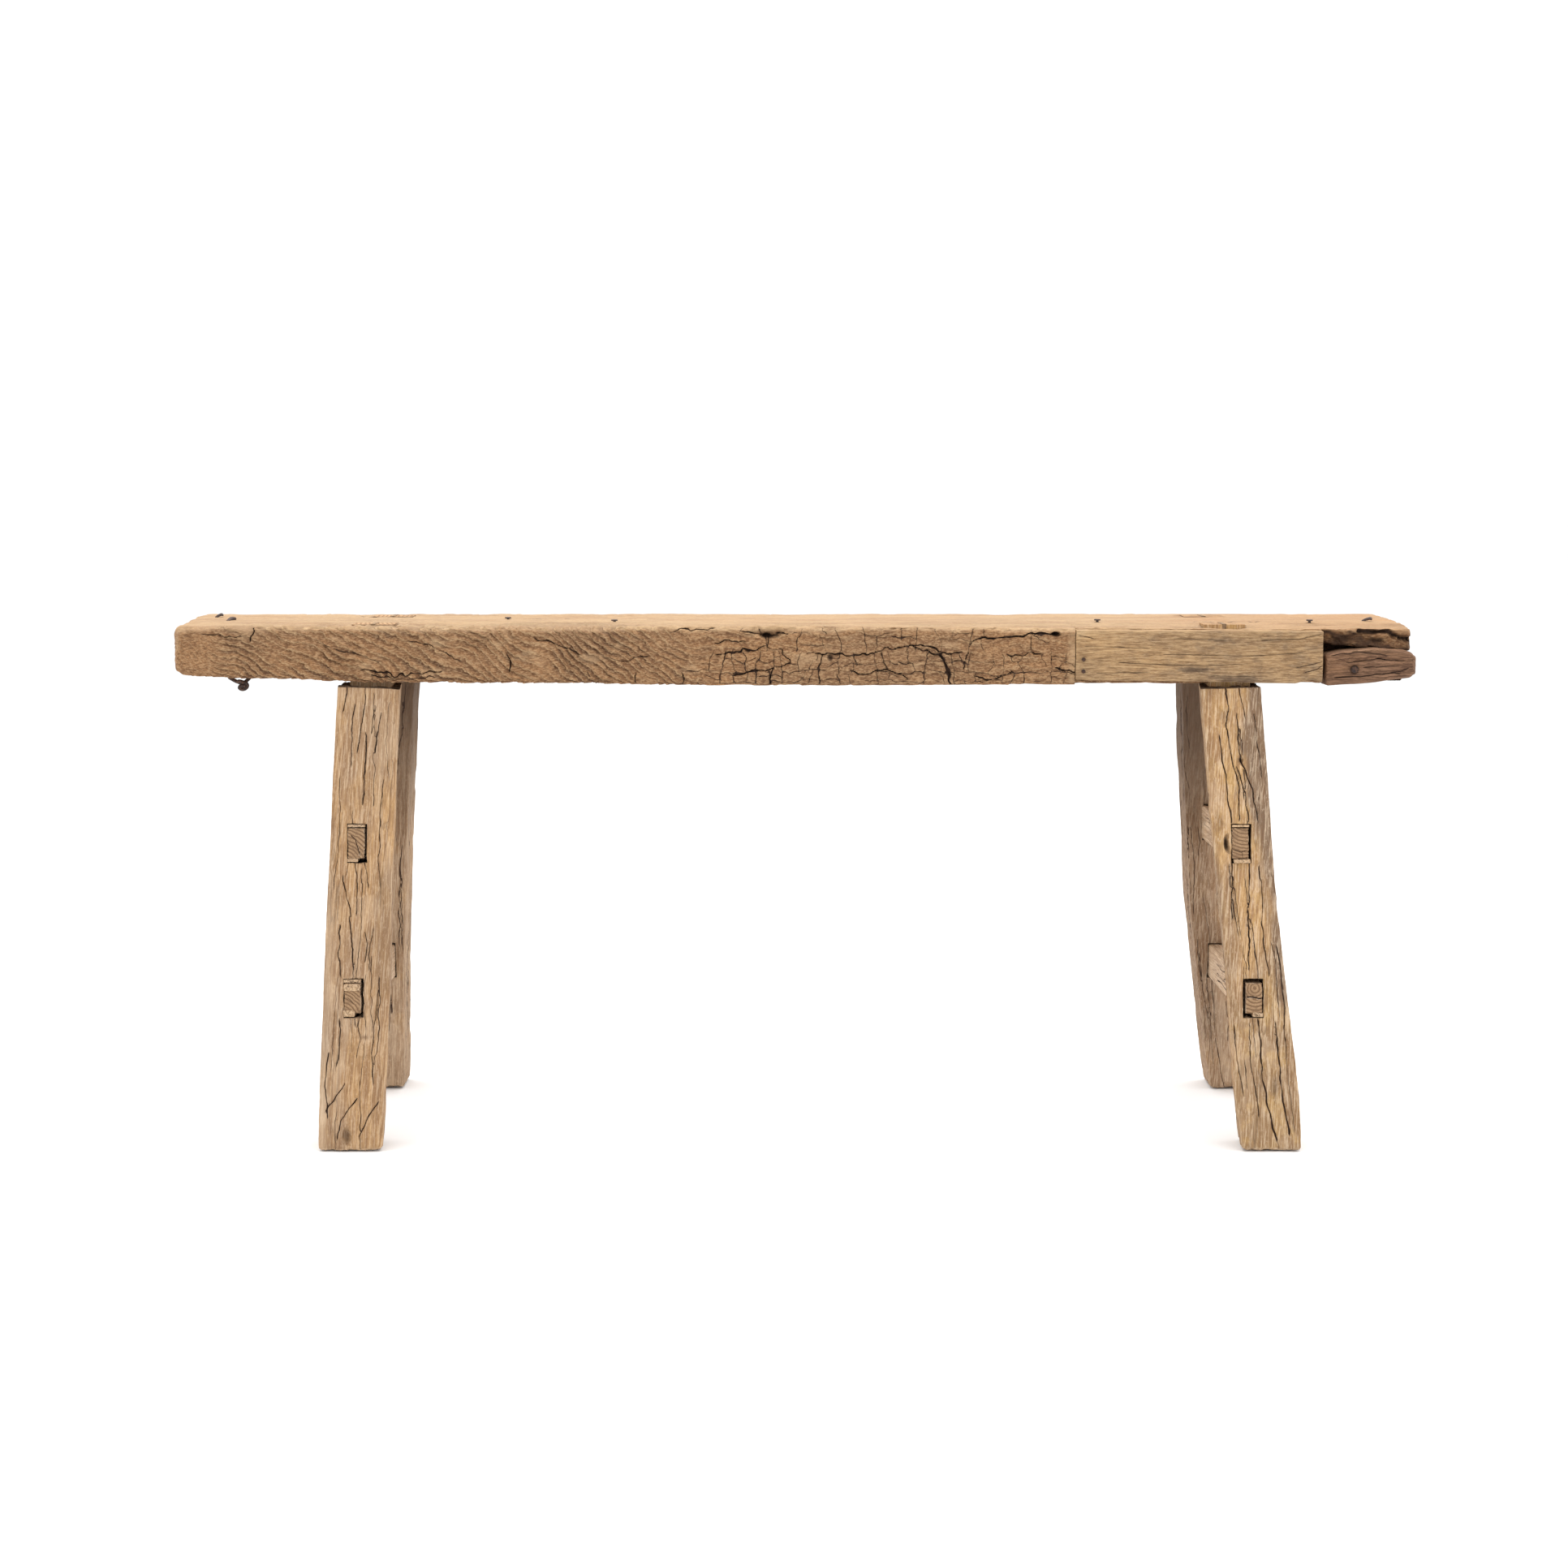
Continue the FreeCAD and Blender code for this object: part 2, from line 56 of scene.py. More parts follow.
camera = {"place": (-5.4, -2459, 641), "downwards": 7.38, "lens": 59.61}
studio = {"dome": 1.12, "topPower": 60, "topSize": 3.0, "topHeight": 2600, "sidePower": 14, "sideSize": 2.0,
          "sidePlace": (2300, 300, 900)}


def selectOnly(piece):
    if bpy.context.mode != "OBJECT":
        bpy.ops.object.mode_set(mode="OBJECT")
    bpy.ops.object.select_all(action="DESELECT")
    piece.select_set(True)
    bpy.context.view_layer.objects.active = piece


def readPoints(piece):
    flat = np.empty(len(piece.data.vertices) * 3, dtype=np.float32)
    piece.data.vertices.foreach_get("co", flat)
    return flat.reshape(-1, 3).astype(float)


def writePoints(piece, points):
    piece.data.vertices.foreach_set("co", points.astype(np.float32).ravel())
    piece.data.update()


def edgesAlong(piece, axis):
    points = readPoints(piece)
    ends = np.empty(len(piece.data.edges) * 2, dtype=np.int32)
    piece.data.edges.foreach_get("vertices", ends)
    ends = ends.reshape(-1, 2)
    run = np.abs(points[ends[:, 0]] - points[ends[:, 1]])
    return (run[:, axis] > 1e-6) & (np.delete(run, axis, axis=1).max(axis=1) < 1e-6)


def cutSteps(count):
    # an edge takes at most 100 new points at a time, so a long division is done in two
    if count <= 100:
        return [count]
    first = next(n for n in range(2, 101) if count % n == 0 and count // n <= 100)
    return [first, count // first]


def dividedBlock(name, cells):
    # unit cube whose faces are divided into the given number of cells along X, Y and Z
    bpy.ops.object.select_all(action="DESELECT")
    bpy.ops.mesh.primitive_cube_add(size=1, location=(0.5, 0.5, 0.5))
    piece = bpy.context.object
    piece.name = piece.data.name = name
    bpy.ops.object.transform_apply(location=True, rotation=True, scale=True)
    bpy.ops.object.mode_set(mode="EDIT")
    bpy.ops.mesh.select_mode(type="EDGE")
    bpy.ops.object.mode_set(mode="OBJECT")
    for axis, count in enumerate(cells):
        for parts in cutSteps(count):
            if parts < 2:
                continue
            bpy.ops.object.mode_set(mode="EDIT")
            bpy.ops.mesh.select_all(action="DESELECT")
            bpy.ops.object.mode_set(mode="OBJECT")
            piece.data.edges.foreach_set("select", edgesAlong(piece, axis))
            bpy.ops.object.mode_set(mode="EDIT")
            bpy.ops.mesh.subdivide(number_cuts=parts - 1)
            bpy.ops.object.mode_set(mode="OBJECT")
    return piece


def stations(*runs):
    # places of the division lines: each run is (from, to, cells)
    line = [np.linspace(start, end, cells, endpoint=False) for start, end, cells in runs]
    return np.append(np.concatenate(line), runs[-1][1])


def placed(unit, line):
    return np.interp(unit * (len(line) - 1), np.arange(len(line)), line)


def roughness(points, size, seed=0, octaves=2):
    # smooth value noise from -1 to 1 with features of the given size, at points in millimetres
    total, weight, scale = np.zeros(len(points)), 0.0, 1.0 / size
    for octave in range(octaves):
        q = points * scale + (seed * 7.31 + octave * 3.17)
        cell = np.floor(q).astype(np.int64)
        f = q - cell
        f = f * f * (3 - 2 * f)
        value = np.zeros(len(points))
        for corner in range(8):
            step = np.array([corner & 1, corner >> 1 & 1, corner >> 2 & 1])
            k = cell + step
            h = ((k[:, 0] * 73856093) ^ (k[:, 1] * 19349663) ^ (k[:, 2] * 83492791)
                 ^ (seed * 2654435 + octave * 97))
            h = (h ^ (h >> 13)) * 1274126177 & 0x7FFFFFFF
            h = (h ^ (h >> 15)) & 0xFFFF
            value += (h / 32767.5 - 1) * np.prod(np.where(step, f, 1 - f), axis=1)
        total += value * 0.5 ** octave
        weight += 0.5 ** octave
        scale *= 2.1
    return total / weight


def softened(points, low, high, radius):
    # rounds the edges of a box: returns moved points and the outward direction at each
    low, high = np.asarray(low, float), np.asarray(high, float)
    radius = np.broadcast_to(np.asarray(radius, float), (len(points),))[:, None]
    inner = np.clip(points, low + radius, high - radius)
    out = points - inner
    length = np.linalg.norm(out, axis=1, keepdims=True)
    out = out / np.maximum(length, 1e-9)
    return inner + out * radius, out


def towards(line, a, b):
    # distance in a plane to a broken line, the side it is on, and the distance from the line's nearer end
    best, side, inward = np.full(len(a), 1e9), np.ones(len(a)), np.zeros(len(a))
    lengths = [math.dist(start, end) for start, end in zip(line, line[1:])]
    for index, ((a0, b0), (a1, b1)) in enumerate(zip(line, line[1:])):
        da, db = a1 - a0, b1 - b0
        t = np.clip(((a - a0) * da + (b - b0) * db) / max(da * da + db * db, 1e-9), 0, 1)
        away = np.hypot(a - a0 - t * da, b - b0 - t * db)
        nearer = away < best
        run = sum(lengths[:index]) + t * lengths[index]
        best = np.where(nearer, away, best)
        side = np.where(nearer, np.where((a - a0) * db > (b - b0) * da, 1.0, -1.0), side)
        inward = np.where(nearer, np.minimum(run, sum(lengths) - run), inward)
    return best, side, inward


def splits(points, a, b, lines, wander=1.2, seed=0, deepest=1.6):
    # drying cracks in a plane, each (half width, depth, corners): how deep each point sinks, its distance to the
    # nearest crack, negative on one side, and the half width of that crack there, below zero where there is none
    depth, side, half = np.zeros(len(a)), np.full(len(a), 3.0), np.full(len(a), -1.0)
    shift = roughness(points, 11, seed + 50, 3) * wander
    lift = roughness(points, 11, seed + 51, 3) * wander
    swell = 0.9 + 0.8 * roughness(points, 13, seed + 52, 3)
    deepestYet = np.full(len(a), -1e9)
    for width, deep, line in lines:
        away, sign, inward = towards(line, a + shift, b + lift)
        here = width * np.clip(swell, 0.25, 1.8) * np.clip(inward / 3 + 0.1, 0, 1) - 0.3 * (inward < 0.3)
        near = np.clip(1.15 - away / np.maximum(here, 0.6), 0, 1)
        bevel = np.clip(1 - away / (np.maximum(here, 0) + 1.6), 0, 1) ** 2
        depth = np.maximum(depth, (min(deep, deepest) * near + 0.35 * bevel) * np.clip(here / 0.5, 0, 1))
        closer = here - away > deepestYet
        deepestYet = np.where(closer, here - away, deepestYet)
        side = np.where(closer, np.minimum(away, 3) * sign, side)
        half = np.where(closer, here - 0.5 * np.maximum(away - np.maximum(here, 0) - 0.4, 0), half)
    return depth, side, np.maximum(half, -1)


def joined(*sets):
    # the cracks of several faces as one: each set is (side, half, where it holds)
    side, half = np.full(len(sets[0][0]), 3.0), np.full(len(sets[0][0]), -1.0)
    for newSide, newHalf, where in sets:
        better = where & (newHalf > half)
        side, half = np.where(better, newSide, side), np.where(better, newHalf, half)
    return side, half


def setCracks(piece, side, half):
    setAttribute(piece, "side", side)
    setAttribute(piece, "half", half)


def setAttribute(piece, name, values):
    layer = piece.data.attributes.new(name, "FLOAT", "POINT")
    layer.data.foreach_set("value", values.astype(np.float32))


def smooth(piece, degrees=38):
    selectOnly(piece)
    bpy.ops.object.shade_smooth_by_angle(angle=math.radians(degrees))


def cutWith(piece, cutters):
    # takes every cutter out of the piece, then deletes the cutters
    for cutter in cutters:
        selectOnly(piece)
        knife = piece.modifiers.new("cut", "BOOLEAN")
        knife.operation, knife.solver, knife.object = "DIFFERENCE", "EXACT", cutter
        bpy.ops.object.modifier_apply(modifier=knife.name)
        bpy.data.objects.remove(cutter, do_unlink=True)


def facesWhere(piece, test):
    centres = np.empty(len(piece.data.polygons) * 3, dtype=np.float32)
    normals = np.empty(len(piece.data.polygons) * 3, dtype=np.float32)
    piece.data.polygons.foreach_get("center", centres)
    piece.data.polygons.foreach_get("normal", normals)
    return test(centres.reshape(-1, 3) / mm, normals.reshape(-1, 3))


def addFinish(piece, finish, chosen=None):
    # gives the whole piece a finish, or the chosen faces another one
    piece.data.materials.append(finish)
    if chosen is not None:
        index = np.zeros(len(piece.data.polygons), dtype=np.int32)
        piece.data.polygons.foreach_get("material_index", index)
        index[chosen] = len(piece.data.materials) - 1
        piece.data.polygons.foreach_set("material_index", index)


def claim(piece, node):
    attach(piece, "root")
    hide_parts(node)


class Wire:
    # a shader socket that takes part in Python arithmetic

    def __init__(self, finish, socket):
        self.finish, self.socket = finish, socket

    def maths(self, operation, *others, **settings):
        values = dict(enumerate((self, *others)))
        return self.finish.node("ShaderNodeMath", {"operation": operation, **settings}, values)

    def __add__(self, other):
        return self.maths("ADD", other)

    def __radd__(self, other):
        return self.maths("ADD", other)

    def __sub__(self, other):
        return self.maths("SUBTRACT", other)

    def __rsub__(self, other):
        return self.finish.node("ShaderNodeMath", {"operation": "SUBTRACT"}, {0: other, 1: self})

    def __mul__(self, other):
        return self.maths("MULTIPLY", other)

    def __rmul__(self, other):
        return self.maths("MULTIPLY", other)

    def __truediv__(self, other):
        return self.maths("DIVIDE", other)

    def __pow__(self, other):
        return self.maths("POWER", other)

    def clamp(self):
        return self.maths("ADD", 0.0, use_clamp=True)

    def size(self):
        return self.maths("ABSOLUTE")

    def above(self, low, high):
        # 0 under low, 1 over high, smooth between
        return self.finish.node("ShaderNodeMapRange", {"interpolation_type": "SMOOTHSTEP"},
                                {"Value": self, "From Min": low, "From Max": high})


class Finish:
    # a material under construction

    def __init__(self, name):
        self.material = bpy.data.materials.new(name)
        self.material.use_nodes = True
        self.tree = self.material.node_tree
        self.tree.nodes.clear()

    def node(self, kind, settings=None, sockets=None, out=0):
        made = self.tree.nodes.new(kind)
        for name, value in (settings or {}).items():
            setattr(made, name, value)
        for name, value in (sockets or {}).items():
            if isinstance(value, Wire):
                self.tree.links.new(value.socket, made.inputs[name])
            elif isinstance(value, tuple) and made.inputs[name].type == "RGBA":
                made.inputs[name].default_value = (*value, 1)
            else:
                made.inputs[name].default_value = value
        return Wire(self, made.outputs[out])

    def place(self):
        return self.node("ShaderNodeTexCoord", out="Object")

    def mapped(self, vector, scale=(1, 1, 1), turn=(0, 0, 0), shift=(0, 0, 0)):
        return self.node("ShaderNodeMapping", None,
                         {"Vector": vector, "Scale": scale, "Rotation": turn, "Location": shift})

    def axis(self, vector, name):
        return self.node("ShaderNodeSeparateXYZ", None, {"Vector": vector}, out=name)

    def noise(self, vector, scale, detail=2.0, rough=0.5):
        return self.node("ShaderNodeTexNoise", None,
                         {"Vector": vector, "Scale": scale, "Detail": detail, "Roughness": rough})

    def noiseColour(self, vector, scale, detail):
        return self.node("ShaderNodeTexNoise", None, {"Vector": vector, "Scale": scale, "Detail": detail},
                         "Color")

    def cracks(self):
        return 1 - (self.attribute("side").size() - self.attribute("half")).above(-0.22, 0.2)

    def mix(self, factor, a, b):
        return self.node("ShaderNodeMix", {"data_type": "RGBA"}, {0: factor, 6: a, 7: b}, out=2)

    def warped(self, vector, push, amount):
        # moves a vector by a colour-valued noise, so lines in it wander
        offset = self.node("ShaderNodeVectorMath", {"operation": "MULTIPLY_ADD"},
                           {0: push, 1: (amount,) * 3, 2: (-amount / 2,) * 3})
        return self.node("ShaderNodeVectorMath", {"operation": "ADD"}, {0: vector, 1: offset})

    def attribute(self, name):
        return self.node("ShaderNodeAttribute", {"attribute_name": name}, out="Fac")

    def close(self, colour, rough, height, strength=0.5, distance=0.0006, metal=0.0):
        bump = self.node("ShaderNodeBump", None,
                         {"Height": height, "Strength": strength, "Distance": distance})
        surface = self.node("ShaderNodeBsdfPrincipled", None,
                            {"Base Color": colour, "Roughness": rough, "Normal": bump, "Metallic": metal,
                             "Specular IOR Level": 0.25})
        output = self.tree.nodes.new("ShaderNodeOutputMaterial")
        self.tree.links.new(surface.socket, output.inputs["Surface"])
        return self.material


def srgb(r, g, b):
    # a colour as a paint chip reads it, 0 to 255, made linear
    return tuple((c / 255 / 12.92) if c <= 10 else ((c / 255 + 0.055) / 1.055) ** 2.4 for c in (r, g, b))


def woodFinish(name, look):
    # old timber whose grain runs along local Z once turned
    f = Finish(name)
    place = f.mapped(f.place(), turn=look.get("turn", (0, 0, 0)), shift=look.get("shift", (0, 0, 0)))
    slow = f.noiseColour(f.mapped(place, (1, 1, 0.4)), look["bendScale"], 3)
    grain = f.warped(place, slow, look["bend"])
    streak = f.mapped(grain, (1, 1, look["stretch"]))
    broad = f.noise(streak, 120, 2, 0.5)
    strand = f.noise(streak, look["strandScale"], 3, 0.6)
    fibre = f.noise(f.mapped(grain, (1, 1, look["stretch"] * 0.8)), look["fibreScale"], 2, 0.6)
    grit = f.noise(f.mapped(grain, (1, 1, look["gritStretch"])), 620, 4, 0.7)
    patch = f.noise(f.mapped(place, (1, 1, 0.5)), look["patchScale"], 3, 0.6)
    cloud = f.noise(f.mapped(place, (1, 1, 0.7)), look["cloudScale"], 4, 0.62)
    worn, dirt, flow = f.attribute("worn").clamp(), f.attribute("dirt").clamp(), f.attribute("flow")
    turn = (f.attribute("phase") + f.noise(place, 240, 2) * look["ringWander"]).maths("FRACT")
    broken = 0.4 + f.noise(f.mapped(place, (1, 1, 0.6)), 38, 3).above(0.4, 0.6) * 0.6
    ring = turn.above(0.3, 0.88) * (1 - turn.above(0.9, 1.0)) * broken * flow
    pith = (1 - turn.above(0.02, 0.35)) * flow
    tone = f.mix(strand.above(0.36, 0.62), look["dark"], look["light"])
    tone = f.mix(broad.above(0.45, 0.68) * look["broadStrength"], tone, look["ring"])
    tone = f.mix(patch.above(0.47, 0.62) * look["patchStrength"], tone, look["grey"])
    tone = f.mix(cloud.above(0.5, 0.68) * look["cloudStrength"], tone, look["stain"])
    tone = f.mix(f.attribute("soak").clamp(), tone, look["soak"])
    tone = f.mix(ring * look["figureStrength"], tone, look["ring"])
    tone = f.mix(pith * look["figureStrength"] * 0.5, tone, look["pale"])
    tone = f.mix((1 - fibre).above(0.5, 0.62) * look["fleckStrength"], tone, look["pale"])
    tone = f.mix(fibre.above(0.5, 0.62) * look["fibreStrength"], tone, look["deep"])
    tone = f.mix(grit.above(0.52, 0.68) * look["gritStrength"], tone, look["deep"])
    tone = f.mix((1 - grit).above(0.54, 0.68) * look["gritStrength"] * 0.7, tone, look["pale"])
    hair = f.noise(f.mapped(grain, (1, 1, look["hairStretch"])), look["hairScale"], 3, 0.5)
    line = 1 - (hair - 0.5).size().above(look["hairWidth"] * 0.3, look["hairWidth"])
    line = line * f.noise(f.mapped(place, (1, 1, 0.15)), 40, 2).above(0.44, 0.6) * look["hairStrength"]
    tone = f.mix(line, tone, look["crack"])
    thread = f.noise(f.mapped(grain, (1, 1, 0.16)), 55, 5, 0.7)
    rubbed = f.mix(thread.above(0.44, 0.6), look["pale"], look["rubbed"])
    rubbed = f.mix(f.attribute("soak").clamp() * 0.5, rubbed, look["soak"])
    # wear, and on the legs a painted highlight and painted sheen, lighten the tone towards the rubbed colour
    tone = f.mix(worn * look["wornStrength"], tone, rubbed)
    # painted shade: the wood darkens towards the top of the piece, standing in for the shade under the seat
    if "sootTo" in look:
        underSeatShadeAmount = f.axis(place, "Z").above(look["sootFrom"], look["sootTo"]) * look["sootStrength"]
        tone = f.mix(underSeatShadeAmount, tone, look["soot"])
    gap = f.cracks()
    height = strand * 0.8 + broad * 0.5 - fibre * 0.5 - grit * look["gritRelief"] - line * 1.2 + cloud * 0.5
    height = height - ring * look["ringRelief"]
    # dirt and painted shade darken the tone towards the crack colour
    tone = f.mix(dirt, tone, look["crack"])
    tone = f.mix(gap, tone, look["crack"])
    rough = 0.78 - worn * 0.1 + fibre * 0.1
    return f.close(tone, rough, height - gap * 0.8, look["bump"], look["bumpDepth"])


def endGrainFinish(name, look):
    # sawn or chopped end of a timber: arcs of growth rings, rays and dark open pores
    f = Finish(name)
    place = f.mapped(f.place(), turn=look.get("turn", (0, 0, 0)))
    push = f.noiseColour(place, 70, 2.0)
    q = f.warped(place, push, look.get("wander", 0.003))
    x, z = f.axis(q, "X") - look["heart"][0], f.axis(q, "Z") - look["heart"][1]
    radius = (x * x + z * z) ** 0.5
    ring = (radius * (6.2832 / look["ringGap"])).maths("SINE") * 0.5 + 0.5
    speck = f.noise(q, 1300, 3, 0.6)
    soil = f.noise(place, 120, 4, 0.6)
    tone = f.mix(ring.above(0.35, 0.95), look["light"], look["dark"])
    tone = f.mix(speck.above(0.48, 0.66) * 0.5, tone, look["deep"])
    tone = f.mix(soil.above(0.48, 0.66) * 0.55, tone, look["stain"])
    tone = f.mix(f.cracks(), tone, look["crack"])
    return f.close(tone, 0.9, speck * 0.8 - ring * 0.8, 0.8, 0.0009)


def ironFinish(name, look):
    f = Finish(name)
    place = f.place()
    rust = f.noise(place, 420, 4, 0.65)
    pit = f.noise(place, 1500, 3, 0.6)
    tone = f.mix(rust.above(0.42, 0.62), look["black"], look["rust"])
    tone = f.mix(pit.above(0.6, 0.75) * 0.5, tone, look["bright"])
    return f.close(tone, 0.62 + rust * 0.2, rust + pit * 0.6, 0.6, 0.0004, metal=0.35)


# tones
crack = srgb(52, 35, 25)
plainLook = {"bendScale": 9, "bend": 0.012, "stretch": 0.1, "strandScale": 420, "fibreScale": 900,
             "patchScale": 11, "cloudScale": 55, "broadStrength": 0.45, "patchStrength": 0.6,
             "cloudStrength": 0.4, "figureStrength": 0.35, "fleckStrength": 0.45, "fibreStrength": 0.6,
             "hairStretch": 0.03, "hairScale": 120, "hairWidth": 0.011, "hairStrength": 0.75,
             "wornStrength": 0.55, "bump": 0.7, "bumpDepth": 0.0008, "crack": crack, "ringWander": 0.35,
             "ringRelief": 0.6, "gritStretch": 0.3, "gritStrength": 0.3, "gritRelief": 0.5}
seatLook = {**plainLook, "light": srgb(157, 117, 80), "dark": srgb(132, 95, 63), "ring": srgb(78, 51, 33),
            "grey": srgb(132, 101, 73), "stain": srgb(112, 77, 49), "deep": srgb(82, 55, 37),
            "pale": srgb(200, 170, 131), "rubbed": srgb(180, 149, 115), "soak": srgb(164, 116, 74),
            "turn": (0, math.radians(-90), 0), "stretch": 0.42, "fleckStrength": 0.25, "hairStrength": 0.15,
            "fibreStrength": 0.5, "broadStrength": 0.2, "figureStrength": 0.95, "ringRelief": 2.2,
            "ringWander": 0.55, "cloudStrength": 0.5, "gritStretch": 0.5, "gritStrength": 0.3,
            "gritRelief": 0.6}
legLook = {**plainLook, "light": srgb(184, 147, 104), "dark": srgb(163, 127, 89), "ring": srgb(130, 97, 68),
           "grey": srgb(158, 132, 107), "stain": srgb(182, 143, 94), "deep": srgb(122, 91, 64),
           "pale": srgb(216, 192, 164), "rubbed": srgb(196, 168, 138), "soak": srgb(112, 92, 76),
           "stretch": 0.06, "figureStrength": 0.5, "fibreStrength": 0.4, "fleckStrength": 0.3,
           "broadStrength": 0.3, "patchStrength": 0.5, "cloudStrength": 0.3, "hairStrength": 0.4,
           "gritStrength": 0.4, "gritStretch": 0.45}


def setStage():
    bpy.ops.object.select_all(action="DESELECT")
    bpy.ops.mesh.primitive_plane_add(size=40, location=(0, 0, 0))
    floor = bpy.context.object
    floor.name = "floor"
    paint = Finish("paleFloor")
    speck = paint.noise(paint.place(), 3, 2)
    pale = paint.mix(speck, (0.9, 0.9, 0.9), (0.93, 0.93, 0.93))
    floor.data.materials.append(paint.close(pale, 0.95, speck, 0.02))
    world = bpy.data.worlds.new("paleDome")
    world.use_nodes = True
    world.node_tree.nodes["Background"].inputs["Color"].default_value = (1, 1, 1, 1)
    world.node_tree.nodes["Background"].inputs["Strength"].default_value = studio["dome"]
    bpy.context.scene.world = world
    bpy.context.scene.view_settings.view_transform = "Standard"

    def softbox(name, size, power, place, tilt):
        bpy.ops.object.light_add(type="AREA", location=[v * mm for v in place], rotation=tilt)
        lamp = bpy.context.object
        lamp.name, lamp.data.size, lamp.data.energy = name, size, power

    softbox("topLight", studio["topSize"], studio["topPower"], (0, 0, studio["topHeight"]), (0, 0, 0))
    x, y, z = studio["sidePlace"]
    for side in (-1, 1):
        softbox("sideLight", studio["sideSize"], studio["sidePower"], (side * x, y, z),
                (math.radians(90), 0, math.radians(side * 90)))
    bpy.ops.object.camera_add(location=[v * mm for v in camera["place"]],
                              rotation=(math.radians(90 - camera["downwards"]), 0, 0))
    view = bpy.context.object
    view.data.lens, view.data.sensor_width, view.data.clip_end = camera["lens"], 36, 100
    bpy.context.scene.camera = view


setStage()
print("stage set")

# seat plank
seat = {"low": undersideZ, "high": topZ, "front": -90, "back": 90, "left": -574.4, "right": 574.4,
        "leftEnd": ((-90, -70, -30, 20, 70, 90), (-564, -567, -570.5, -572.8, -573.4, -573.3)),
        "rightEnd": ((-82, -66, -30, 20, 76, 90), (571, 573.5, 574.2, 574.2, 573.5, 568)),
        "underside": ((-574, -552, -510, -442, -410, -350, -270, -49, 100, 248, 574),
                      (434, 433, 431.5, 430.5, 428, 427, 427, 425, 425, 426, 426)),
        "slipFrom": 261.2, "slipTo": 488.5, "slipDepth": 12, "lipFront": -81, "stepBack": -50}
# half width, depth and corners of each crack on the front, along the seat and up
seatCracks = [
    (0.45, 5, [(-69, 454), (-44, 456), (-27, 460), (-20, 458), (-8, 458), (-8, 454), (0, 448), (0, 444)]),
    (0.4, 4, [(-54, 436), (-43, 438), (-25, 441), (-9, 442), (-2, 445), (8, 446)]),
    (0.7, 6, [(-16, 442), (-17, 432), (-17, 418)]),
    (0.6, 6, [(-21, 475), (-22, 466), (-21, 456)]),
    (0.5, 5, [(14, 456), (41, 455), (70, 455), (87, 459), (93, 460), (120, 463), (138, 458)]),
    (0.55, 5, [(28, 456), (27, 440), (28, 418)]),
    (0.45, 5, [(109, 462), (124, 457), (139, 457), (160, 457)]),
    (0.9, 7, [(137, 459), (143, 446), (145, 436), (147, 416)]),
    (0.5, 6, [(159, 440), (163, 455), (167, 466), (176, 468)]),
    (0.95, 6, [(166, 466), (183, 469), (199, 471), (244, 475)]),
    (0.45, 4, [(196, 456), (215, 455), (232, 457)]), (0.5, 4, [(242, 441), (252, 438), (266, 439)]),
    (0.45, 3, [(-492, 480), (-491, 464)]),
    (0.45, 3, [(-259, 455), (-257, 447), (-258, 436)]),
    (0.5, 4, [(-140, 438), (-141, 418)]),
    (0.4, 3, [(-100, 437), (-97, 418)]),
    (0.28, 3, [(-112, 476), (-93, 477), (-66, 478)]),
    (0.45, 3, [(-72, 466), (-58, 466), (-38, 463)]), (0.7, 5, [(-44, 473), (-34, 475), (-26, 474)]),
    (0.6, 5, [(-14, 474), (-6, 475), (0, 473)]),
    (0.5, 4, [(55, 440), (70, 437), (96, 440), (110, 434)]),
    (0.5, 3, [(168, 436), (186, 432), (206, 437)]),
    (0.4, 3, [(84, 458), (85, 446), (92, 438)]),
    (0.4, 3, [(-545, 470), (-520, 468), (-500, 470)]), (0.35, 2, [(-430, 461), (-400, 452), (-372, 447)]),
    (0.35, 2, [(-350, 466), (-322, 458), (-300, 446)]), (0.4, 2, [(-236, 470), (-214, 462), (-190, 452)]),
    (0.4, 3, [(-395, 438), (-360, 434), (-318, 437)]), (0.35, 2, [(-385, 434), (-352, 431), (-322, 432)]),
    (0.35, 2, [(-172, 450), (-150, 447), (-128, 452)]), (0.4, 2, [(-186, 440), (-183, 430)]),
]


def checks(seed, left, right, low, high, half, wide, tall):
    # square drying checks: blocks are split again and again, each new crack ending on the older ones
    draw = random.Random(seed)
    lines, blocks = [], [(left, right, low, high, half)]
    while blocks:
        x0, x1, z0, z1, here = blocks.pop()
        if x1 - x0 < wide * draw.uniform(1, 1.7) and z1 - z0 < tall * draw.uniform(1, 1.5):
            continue
        less = max(here * 0.9, 0.3)
        if x1 - x0 > 1.45 * (z1 - z0):
            cut = x0 + (x1 - x0) * draw.uniform(0.32, 0.68)
            lean = draw.uniform(-3.5, 3.5)
            line = [(cut - lean, z0 - 1), (cut + draw.uniform(-1.5, 1.5), (z0 + z1) / 2),
                    (cut + lean, z1 + 1)]
            blocks += [(x0, cut, z0, z1, less), (cut, x1, z0, z1, less)]
        else:
            cut = z0 + (z1 - z0) * draw.uniform(0.35, 0.65)
            rise = draw.uniform(-2.5, 2.5)
            line = [(x0 - 1, cut - rise), ((x0 + x1) / 2, cut + draw.uniform(-2, 2)), (x1 + 1, cut + rise)]
            blocks += [(x0, x1, z0, cut, less), (x0, x1, cut, z1, less)]
        if draw.random() > 0.3:
            lines.append((here * draw.uniform(0.7, 1.1), 1.2, line))
    return lines


